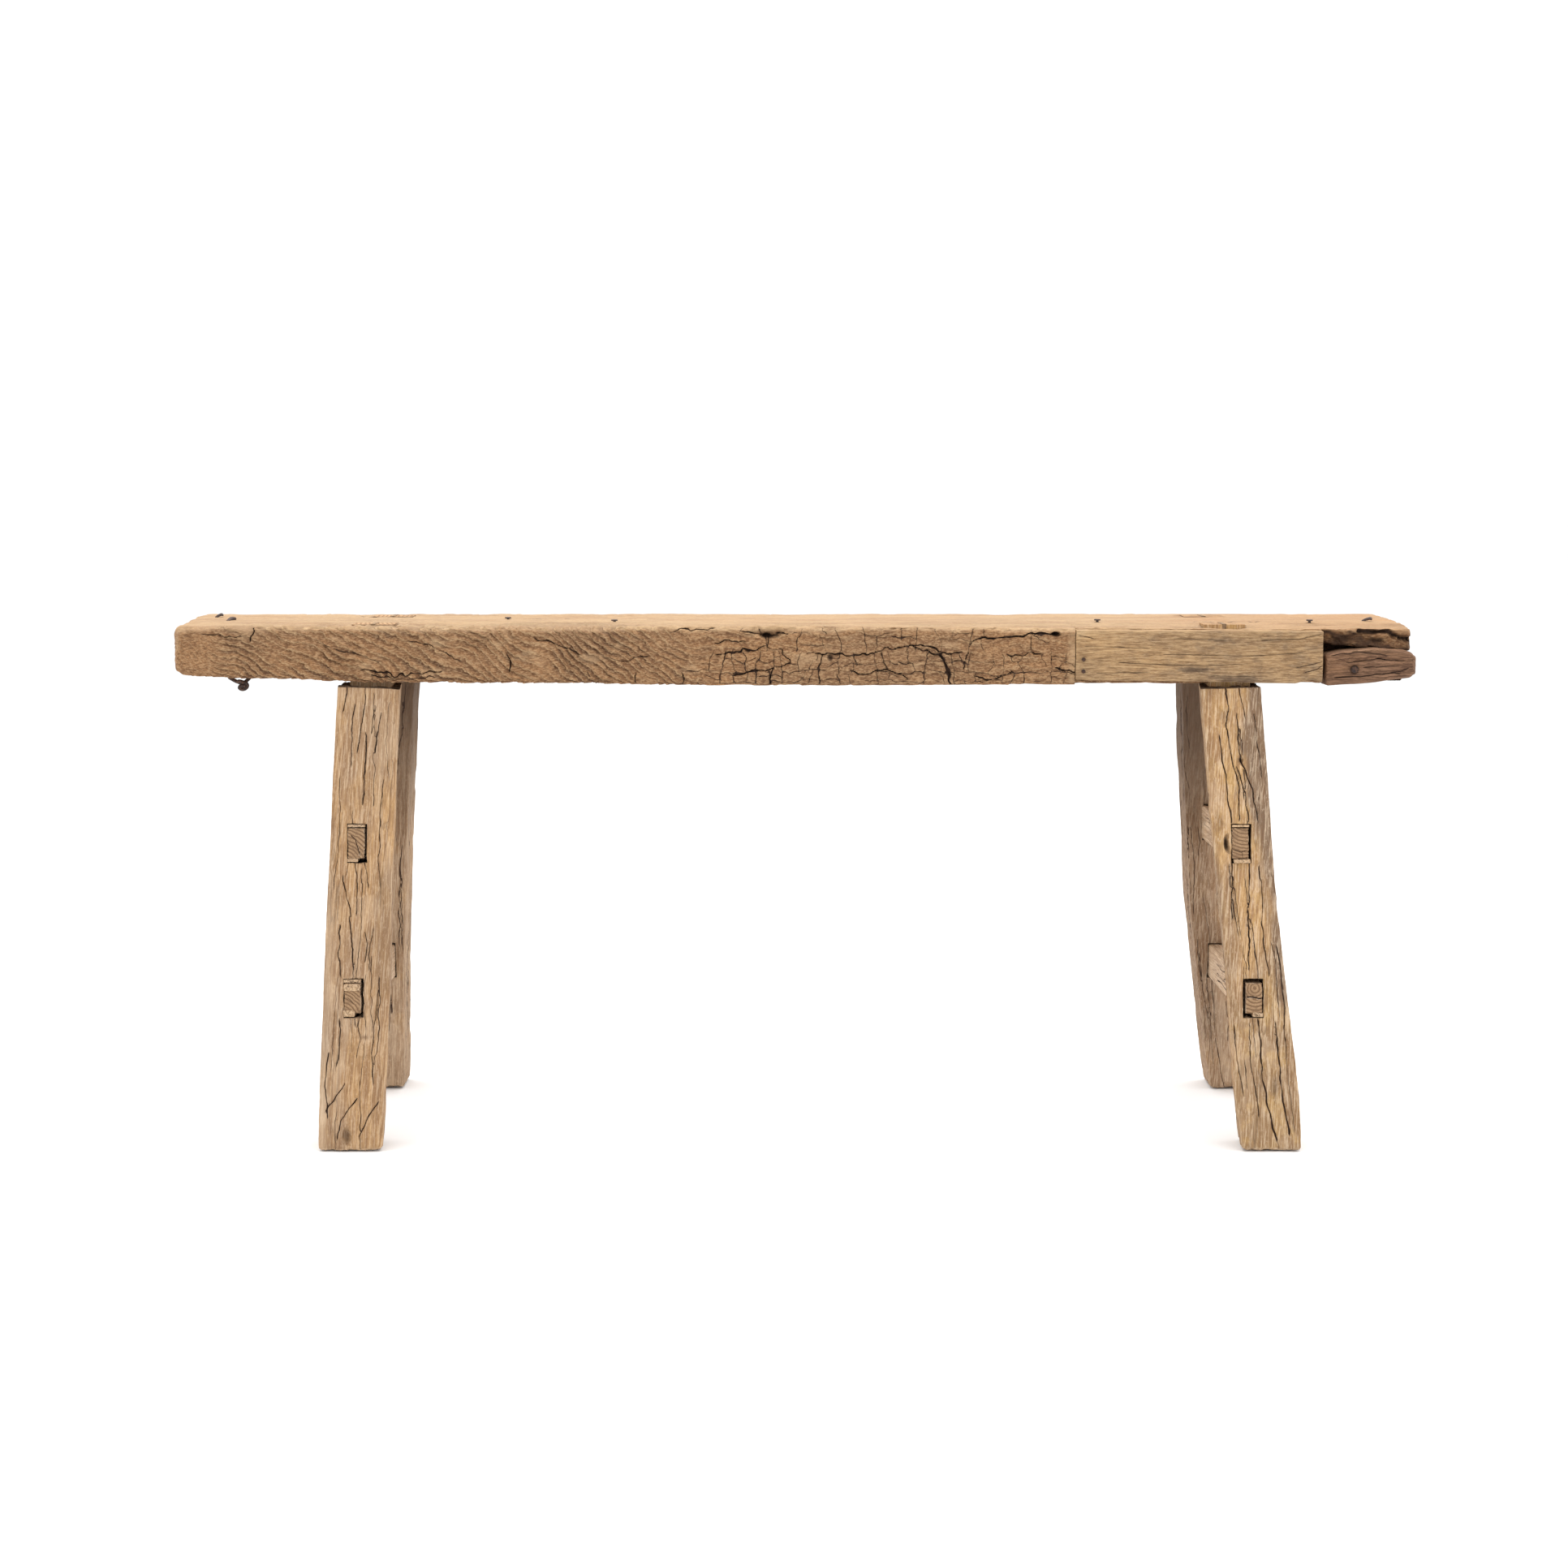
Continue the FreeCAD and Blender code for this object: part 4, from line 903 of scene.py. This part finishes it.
def makeLeg(name, leg, seed):
    end = leg["end"]
    cells = (66, 34, 330) if end < 0 else (48, 32, 260)
    piece = dividedBlock("leg" + name.title().replace("_", ""), cells)
    u, v, w = readPoints(piece).T
    height = w * undersideZ
    left = np.interp(height, leg["heights"], leg["left"])
    right = np.interp(height, leg["heights"], leg["right"])
    middle, width = (left + right) / 2, right - left
    flat = np.column_stack(((u - 0.5) * width, (v - 0.5) * legDepth, height))
    radius = 2.6 + 1.8 * roughness(flat * (1, 1, 0.4), 30, seed) + 3 * np.clip((24 - height) / 24, 0, 1) ** 2
    half = width[:, None] / 2
    low = np.hstack((-half, np.full_like(half, -legDepth / 2), np.zeros_like(half)))
    high = np.hstack((half, np.full_like(half, legDepth / 2), np.full_like(half, undersideZ)))
    points, out = softened(flat, low, high, np.clip(radius, 1.0, 7))
    a, y, z = points.T
    # rings of the timber, seen as long lines on the faces
    heart = leg["heart"]
    bend = 7 * roughness(points * (1, 1, 0.3), 34, seed + 30, 2)
    bend = bend + 2.2 * roughness(points * (1, 1, 0.3), 10, seed + 31, 2)
    rings = (np.hypot(a - heart[0], y - heart[1]) + bend) / 4.2
    wear = 1.5 * np.maximum(roughness(points * (1, 1, 0.22), 20, seed + 1, 3), 0)
    wear += (0.5 * (roughness(points * (1, 1, 0.1), 3.0, seed + 2, 2) + 1)
             + 0.16 * (1 + np.sin(rings * 6.2832 - 1.2)))
    edge = np.clip((1 - np.abs(out[:, :2]).max(axis=1)) * 3.2, 0, 1)
    wear += edge * (2.2 * np.maximum(roughness(points * (1, 1, 0.4), 9, seed + 3, 3), 0))
    wear += edge * 1.2 * np.maximum(roughness(points, 3.5, seed + 12), 0)
    flake = np.clip(roughness(points * (1, 1, 0.35), 13, seed + 13, 2) - 0.22, 0, 0.16) / 0.16
    wear += 0.9 * flake
    outer, inner, sides = out[:, 1] * end > 0.6, out[:, 1] * end < -0.6, np.abs(out[:, 0]) > 0.6
    lines = [(0.55 * wide, deep, line) for wide, deep, line in leg["cracks"]]
    if not lines:
        lines = randomSplits(seed, 18, 22, 60, 424)
    depth, side, half = splits(points, a, z, lines, 1.8, seed + 4)
    extra, extraSide, extraHalf = splits(points, a, z, randomSplits(seed + 5, 13, 27, 20, 424), 2.2, seed + 6)
    side, half = joined((side, half, outer), (extraSide, extraHalf, outer))
    depth = np.maximum(depth, extra * 0.5)
    innerDepth, innerSide, innerHalf = splits(points, a, z, randomSplits(seed + 7, 30, 26, 20, 424), 2.0,
                                              seed + 8)
    sideDepth, flankSide, flankHalf = splits(points, y, z, randomSplits(seed + 9, 30, 20, 20, 424), 2.0,
                                             seed + 10)
    side, half = joined((side, half, outer), (innerSide, innerHalf, inner),
                        (flankSide, flankHalf, sides & ~outer & ~inner))
    # painted shade: the top face of the leg, in the gap under the seat, is darkened
    dirt = 0.9 * (w > 0.995)
    for ha, hz, ra, rz, deep in leg["hollows"]:
        uneven = 1 + 0.5 * roughness(points, 5, seed + 17, 2)
        pit = np.clip(1.2 - uneven * np.hypot((a - ha) / ra, (z - hz) / rz), 0, 1) * outer
        depth = depth + deep * pit
        dirt = np.maximum(dirt, np.clip(pit * (deep / 5), 0, 0.9))
    a, y, z = (points - out * wear[:, None]).T
    y -= end * depth * outer * 0.9
    y += end * innerDepth * inner * 0.7
    a -= np.sign(out[:, 0]) * sideDepth * sides * 0.6
    a += np.sign(out[:, 0]) * sides * 1.3 * (roughness(points * (0, 0, 1), 46, seed + 15, 3) - 0.7)
    # open shoulder under the seat, then the two-way splay
    gap = leg["gap"][0] + (leg["gap"][1] - leg["gap"][0]) * u
    face = v if end > 0 else 1 - v
    z -= gap * np.clip((height - 400) / 26, 0, 1) * np.clip(face * 1.6, 0, 1)
    back = (v if end < 0 else 1 - v) * np.clip(np.abs(a) / 20, 0, 1)
    x = middle + a + leg["lean"] * back * (np.sign(a) == -np.sign(leg["lean"]))
    y = y + end * (outerY(z) - legDepth / 2)
    writePoints(piece, np.column_stack((x, y, np.maximum(z, 0))) * mm)
    setCracks(piece, side, half)
    setAttribute(piece, "dirt", dirt)
    setAttribute(piece, "phase", rings)
    ragged = roughness(points * (1, 1, 0.3), 16, seed + 16, 3)
    soak = np.zeros(len(a))
    for away, bottom, top, much in leg["soaked"]:
        band = np.clip((a * (1 if away > 0 else -1) - abs(away)) / 9 + 1.6 * ragged, 0, 1)
        soak = soak + band * np.clip((z - bottom) / 20, 0, 1) * np.clip((top - z) / 20, 0, 1) * much
    setAttribute(piece, "soak", np.clip(soak, 0, 0.9))
    setAttribute(piece, "flow", np.clip(0.5 + 1.0 * roughness(points * (1, 1, 0.4), 22, seed + 32, 2), 0, 1))
    # the arrises are paler, partly as wear and partly as a painted highlight; the lower left edge of the front
    # left leg gets a painted sheen
    paintedSheen = np.clip((-a - 21) / 5, 0, 1) * np.clip((260 - z) / 60, 0, 1) * (name == "front_left") * 0.8
    setAttribute(piece, "worn", np.clip(edge * 1.1 + 0.35 * flake + paintedSheen, 0, 1))
    hand = "left" if "left" in name else "right"
    near, far = (-170, -40) if end < 0 else (40, 170)
    cutters = []
    for level in ("upper", "lower"):
        rail, (shift, wide) = rails[level, hand], opening[level, hand]
        cutters.append(mortise(rail["x"] + shift, rail["z"], wide, 36, near, far, seed + 14))
    cutWith(piece, cutters)
    return piece


def makeRail(level, side, seed):
    rail = rails[level, side]
    reach = outerY(rail["z"])
    inside = reach - legDepth
    cells = 78 if level == "upper" else 94
    line = stations((-reach, -inside - 0.3, 30), (-inside - 0.3, -inside, 1), (-inside, inside, cells),
                    (inside, inside + 0.3, 1), (inside + 0.3, reach, 30))
    piece = dividedBlock(f"{level}Stretcher{side.title()}", (20, len(line) - 1, 30))
    u, v, w = readPoints(piece).T
    y = placed(v, line)
    tenon = np.abs(y) > inside + 0.1
    width, tall = np.where(tenon, 16.0, 20.0), np.where(tenon, 28.4, 34.0)
    flat = np.column_stack(((u - 0.5) * width, y, (w - 0.5) * tall))
    half = np.column_stack((width / 2, np.full(len(y), reach), tall / 2))
    points, out = softened(flat, -half, half, np.where(tenon, 0.9, 2.6))
    wear = (0.4 * (roughness(points * (1, 0.15, 1), 5, seed) + 1)
            + 0.8 * np.maximum(roughness(points, 12, seed + 1, 2), 0))
    ends = np.abs(out[:, 1]) > 0.6
    wear += ends * (0.5 + 1.0 * roughness(points, 5, seed + 2, 3))
    along = [(wide, deep, [(b, a) for a, b in corners])
             for wide, deep, corners in randomSplits(seed + 3, 14, 14, -90, 100)]
    bodyDepth, bodySide, bodyHalf = splits(points, y, points[:, 2], along, 1.2, seed + 4)
    endDepth, endSide, endHalf = splits(points, points[:, 0], points[:, 2], endCracks[level, side], 1,
                                        seed + 5)
    crackSide, half = joined((bodySide, bodyHalf, np.abs(out[:, 0]) > 0.6), (endSide, endHalf, ends))
    x, y, z = (points - out * (wear + bodyDepth * (np.abs(out[:, 0]) > 0.6) + endDepth * ends)[:, None]).T
    z = z + rail["z"] - railTilt * y
    y += np.sign(y) * (outerY(z) - reach) * np.clip(np.abs(y) - inside, 0, legDepth) / legDepth
    writePoints(piece, np.column_stack((x + rail["x"], y, z)) * mm)
    setCracks(piece, crackSide, half)
    setAttribute(piece, "dirt", np.zeros(len(x)))
    setAttribute(piece, "flow", np.full(len(x), 0.5))
    setAttribute(piece, "phase", points[:, 0] * 0.26 + 0.5 * roughness(points * (1, 0.2, 1), 12, seed + 6))
    setAttribute(piece, "worn", 0.3 * (np.abs(out[:, [0, 2]]).max(axis=1) < 0.9))
    return piece


def makePacking(name, low, high, seed):
    # a split slip of wood driven into a mortise, with crumbled edges
    low, high = np.array(low, float), np.array(high, float)
    size = high - low
    piece = dividedBlock(name, [max(6, int(round(s / 0.7))) if s < 25 else 24 for s in size])
    flat = low + readPoints(piece) * size
    points, out = softened(flat, low, high, min(size) * 0.2)
    wear = 0.35 * (roughness(points, 3.2, seed, 3) + 1)
    points = points - out * wear[:, None]
    writePoints(piece, points * mm)
    setCracks(piece, roughness(points, 4, seed + 1, 3) * 4, np.full(len(flat), 0.1))
    setAttribute(piece, "dirt", np.zeros(len(flat)))
    setAttribute(piece, "flow", np.full(len(flat), 0.5))
    setAttribute(piece, "phase", points[:, 0] * 0.3 + roughness(points, 5, seed + 2))
    setAttribute(piece, "worn", np.full(len(flat), 0.2))
    return piece


# where each leg's tenon comes out of the seat top, and how far it steps outwards per millimetre down
tenon = {"width": 38, "depth": 26, "gap": 0.5, "top": 479.5, "stepForward": 0.129,
         "stepOut": {"front_left": 0.036, "front_right": 0.086, "back_left": 0.061, "back_right": 0.106}}


def makeTenon(name, corner, spare, low, high, cells):
    # leaning block through the seat; the wedge already in place gives its middle
    lowest, highest = (np.array(end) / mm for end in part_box("peg_" + corner))
    front, left = corner.startswith("front"), corner.endswith("left")
    middleX = highest[0] - 2 if left else lowest[0] + 2
    middleY = highest[1] - tenon["depth"] / 2 if front else lowest[1] + tenon["depth"] / 2
    piece = dividedBlock(name, cells)
    u, v, w = readPoints(piece).T
    z = low + w * (high - low)
    x = (middleX + (u - 0.5) * (tenon["width"] + 2 * spare)
         + (topZ - z) * tenon["stepOut"][corner] * (-1 if left else 1))
    y = (middleY + (v - 0.5) * (tenon["depth"] + 2 * spare)
         + (topZ - z) * tenon["stepForward"] * (-1 if front else 1))
    writePoints(piece, np.column_stack((x, y, z)) * mm)
    return piece


# finishes
seatWood = woodFinish("seatWood", seatLook)
slipWood = woodFinish("slipWood", {
    **seatLook, "light": srgb(182, 147, 104), "dark": srgb(154, 120, 82), "ring": srgb(128, 96, 65),
    "grey": srgb(148, 122, 92), "stain": srgb(124, 95, 67), "deep": srgb(96, 70, 47),
    "rubbed": srgb(176, 146, 110), "soak": srgb(104, 86, 70), "bend": 0.004, "stretch": 0.12,
    "patchStrength": 0.5, "figureStrength": 0.5, "fibreStrength": 0.45, "ringWander": 0.9,
    "gritStretch": 0.35, "gritStrength": 0.45})
blockWood = woodFinish("blockWood", {
    **seatLook, "light": srgb(128, 94, 67), "dark": srgb(98, 70, 49), "ring": srgb(82, 56, 40),
    "grey": srgb(110, 84, 66), "stain": srgb(82, 56, 41), "deep": srgb(62, 41, 30),
    "pale": srgb(158, 120, 94), "bend": 0.006, "stretch": 0.12, "gritStretch": 0.25, "gritStrength": 0.35})
legShades = {
    "front_left": {"dark": srgb(156, 121, 86), "grey": srgb(150, 125, 102)},
    "front_right": {"patchStrength": 0.75, "grey": srgb(138, 112, 84), "light": srgb(188, 150, 102),
                    "fleckStrength": 0.45, "stain": srgb(198, 160, 100), "cloudStrength": 0.5},
    # the back legs get painted shade from the seat above, darker towards their tops
    "back_left": {"soot": srgb(84, 66, 52), "sootFrom": 0.18, "sootTo": 0.40, "sootStrength": 0.9,
                  "light": srgb(172, 144, 116), "dark": srgb(150, 124, 98)},
    "back_right": {"soot": srgb(88, 70, 56), "sootFrom": 0.22, "sootTo": 0.40, "sootStrength": 0.85,
                   "light": srgb(164, 134, 106), "dark": srgb(138, 111, 86)},
}
legWoods = {}
for index, (name, leg) in enumerate(legs.items()):
    legWoods[name] = woodFinish("legWood" + name.title().replace("_", ""), {
        **legLook, "turn": (math.radians(-7.4 * leg["end"]), math.radians(-3), 0),
        "shift": (index * 0.37, 0, 0), **legShades[name]})
railWood = woodFinish("railWood", {**legLook, "turn": (math.radians(90), 0, 0), "light": srgb(200, 172, 142),
                                   "dark": srgb(172, 144, 116),
                                    "grey": srgb(176, 154, 132), "hairStrength": 0.25})
packWood = woodFinish("packWood", {**legLook, "turn": (math.radians(90), 0, 0), "light": srgb(206, 174, 134),
                                   "dark": srgb(176, 142, 104), "stretch": 0.5})
endLook = {"light": srgb(168, 136, 103), "dark": srgb(124, 96, 71), "deep": srgb(96, 70, 50),
           "stain": srgb(126, 99, 75), "crack": crack, "ringGap": 0.0031, "wander": 0.005}
endHearts = {("upper", "left"): (-14, -20), ("lower", "left"): (-16, -22), ("upper", "right"): (6, 30),
             ("lower", "right"): (1, 12)}
tenonEnds = {}
for (level, side), (aside, above) in endHearts.items():
    rail = rails[level, side]
    tenonEnds[level, side] = endGrainFinish("tenonEnd" + level.title() + side.title(), {
        **endLook, "heart": ((rail["x"] + aside) * mm, (rail["z"] + above) * mm)})
plankEnd = endGrainFinish("plankEnd", {**endLook, "light": srgb(160, 124, 92),
                                       "turn": (0, 0, math.radians(90)), "heart": (0.02, 0.40),
                                       "ringGap": 0.005, "wander": 0.012})
footEnd = endGrainFinish("footEnd", {**endLook, "turn": (math.radians(90), 0, 0), "heart": (0.3, 0.2),
                                     "ringGap": 0.005})
tenonTop = endGrainFinish("tenonTop", {**endLook, "light": srgb(196, 158, 118), "dark": srgb(160, 124, 90),
                                       "turn": (math.radians(90), 0, 0), "heart": (0.38, 0.12),
                                       "ringGap": 0.004})
oldIron = ironFinish("oldIron", {"black": srgb(52, 44, 42), "rust": srgb(92, 66, 52),
                                 "bright": srgb(128, 124, 124)})
greyIron = ironFinish("greyIron", {"black": srgb(84, 79, 80), "rust": srgb(104, 84, 74),
                                   "bright": srgb(150, 148, 152)})
print("finishes mixed")

plank = makeSeat()
cutWith(plank, [makeTenon("seatMortise", corner, tenon["gap"], 410, 492, (1, 1, 1)) for corner in legs])
addFinish(plank, seatWood)
smooth(plank)
addFinish(plank, plankEnd, facesWhere(plank, lambda c, n: (np.abs(n[:, 0]) > 0.8) & (np.abs(c[:, 0]) > 556)))
claim(plank, "seat_plank")
print("seat plank shaped", len(plank.data.polygons))

slip = makeSlip()
addFinish(slip, slipWood)
smooth(slip)
claim(slip, "edge_slip")
block = makeBlock()
addFinish(block, blockWood)
smooth(block)
claim(block, "end_repair_block")
print("repairs shaped")

for index, (name, leg) in enumerate(legs.items()):
    piece = makeLeg(name, leg, 100 + 20 * index)
    neck = makeTenon("tenon" + name.title().replace("_", ""), name, 0, 421, tenon["top"], (20, 14, 24))
    setCracks(neck, np.zeros(len(neck.data.vertices)), np.full(len(neck.data.vertices), -1.0))
    setAttribute(neck, "dirt", np.zeros(len(neck.data.vertices)))
    selectOnly(piece)
    neck.select_set(True)
    bpy.ops.object.join()
    addFinish(piece, legWoods[name])
    smooth(piece)
    addFinish(piece, footEnd, facesWhere(piece, lambda c, n: (n[:, 2] < -0.8) & (c[:, 2] < 4)))
    addFinish(piece, tenonTop, facesWhere(piece, lambda c, n: (n[:, 2] > 0.8) & (c[:, 2] > 470)))
    claim(piece, "leg_" + name)
print("legs shaped")

for index, (level, side) in enumerate(rails):
    piece = makeRail(level, side, 200 + 10 * index)
    addFinish(piece, railWood)
    smooth(piece)
    addFinish(piece, tenonEnds[level, side],
              facesWhere(piece, lambda c, n: (np.abs(n[:, 1]) > 0.7) & (np.abs(c[:, 1]) > outerY(c[:, 2])
                                                                        - 7)))
    claim(piece, f"{level}_stretcher_{side}")
    rail = rails[level, side]
    for number, (left, right, bottom, top, back) in enumerate(packings[level, side]):
        face = -outerY(rail["z"] + (bottom + top) / 2) + back
        middleZ = rail["z"] - railTilt * face
        lowest = (rail["x"] + left, face, middleZ + bottom)
        highest = (rail["x"] + right, face + 26, middleZ + top)
        piece = makePacking(f"packing{level.title()}{side.title()}{number}", lowest, highest,
                            300 + 10 * index + number)
        addFinish(piece, packWood)
        smooth(piece)
        if number == 0:
            claim(piece, f"{level}_wedge_{side}_front")
        else:
            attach(piece, "root")
    node = f"{level}_wedge_{side}_back"
    low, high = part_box(node)
    piece = makePacking(node.replace("_", " ").title().replace(" ", ""), np.array(low) / mm,
                        np.array(high) / mm, 350 + index)
    addFinish(piece, packWood)
    smooth(piece)
    claim(piece, node)
print("stretchers shaped")

bentNails = {"left": ((-549, 39.7, 479.2), 8, 0.3, 7), "middle": ((-528, -7.8, 478.6), 9, 1.0, 9),
             "right": ((544.8, -7.8, 478.6), 10, -0.3, 8)}
hookWire = [((-517, -72, 431), (-512, -73, 428), (-507, -75, 426.5), (-502, -77, 427), (-499, -76, 424.5),
             (-501, -75, 421), (-504.5, -75, 419.8), (-507.5, -76, 421.5), (-505.5, -77, 424),
             (-501, -77, 423.5)),
            ((-497, -71, 432), (-500, -73, 428.5), (-504.5, -73, 425), (-509, -74, 427), (-506, -78, 428.5),
             (-501, -76, 426))]


def rodAlong(name, corners, thick, cuts):
    # round wire through corner points, with its ends closed
    bpy.ops.object.select_all(action="DESELECT")
    bpy.ops.curve.primitive_nurbs_path_add(location=(0, 0, 0))
    wire = bpy.context.object
    spline = wire.data.splines[0]
    if len(corners) > len(spline.points):
        spline.points.add(len(corners) - len(spline.points))
    for point, corner in zip(spline.points, corners):
        point.co = (*[v * mm for v in corner], 1)
    spline.order_u, spline.use_endpoint_u, spline.resolution_u = 3, True, cuts
    wire.data.bevel_depth, wire.data.bevel_resolution, wire.data.use_fill_caps = thick * mm, 3, True
    bpy.ops.object.convert(target="MESH")
    wire = bpy.context.object
    wire.name = wire.data.name = name
    return wire


def makeBentNail(name, place, length, turn, thick):
    # square nail hammered over, lying on the seat with its flattened head
    piece = dividedBlock(name, (16, 8, 6))
    unit = readPoints(piece)
    low, high = np.array((-length / 2, -thick / 4, 0)), np.array((length / 2, thick / 4, 2.6))
    points, out = softened(low + unit * (high - low), low, high, 0.9)
    head = np.clip((unit[:, 0] - 0.62) / 0.2, 0, 1)
    points[:, 1] *= 1 + 0.7 * head
    points[:, 2] += 1.4 * np.sin(unit[:, 0] * 2.6) + 0.5 * roughness(points, 3, 7)
    points[:, 2] -= 2.0 * (1 - head) * (1 - unit[:, 0])
    x, y = points[:, 0].copy(), points[:, 1].copy()
    points[:, 0] = place[0] + x * math.cos(turn) - y * math.sin(turn)
    points[:, 1] = place[1] + x * math.sin(turn) + y * math.cos(turn)
    points[:, 2] += place[2]
    writePoints(piece, points * mm)
    return piece


for number, (key, (place, length, turn, thick)) in enumerate(bentNails.items()):
    piece = makeBentNail(f"bentNail{key.title()}", place, length, turn, thick)
    addFinish(piece, greyIron)
    smooth(piece)
    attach(piece, "root")
    if number == 0:
        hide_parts("bent_nails")
for number, corners in enumerate(hookWire):
    piece = rodAlong(f"hookWire{number}", corners, 1.7, 6)
    addFinish(piece, oldIron)
    smooth(piece)
    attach(piece, "root")
    if number == 0:
        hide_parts("wire_hook")
print("ironwork shaped")

for node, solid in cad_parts.items():
    if any(word in node for word in ("nail", "hook")):
        solid.data.materials.clear()
        solid.data.materials.append(greyIron if node == "seat_nails" else oldIron)
    elif node.startswith("peg_"):
        solid.data.materials.clear()
        solid.data.materials.append(packWood)
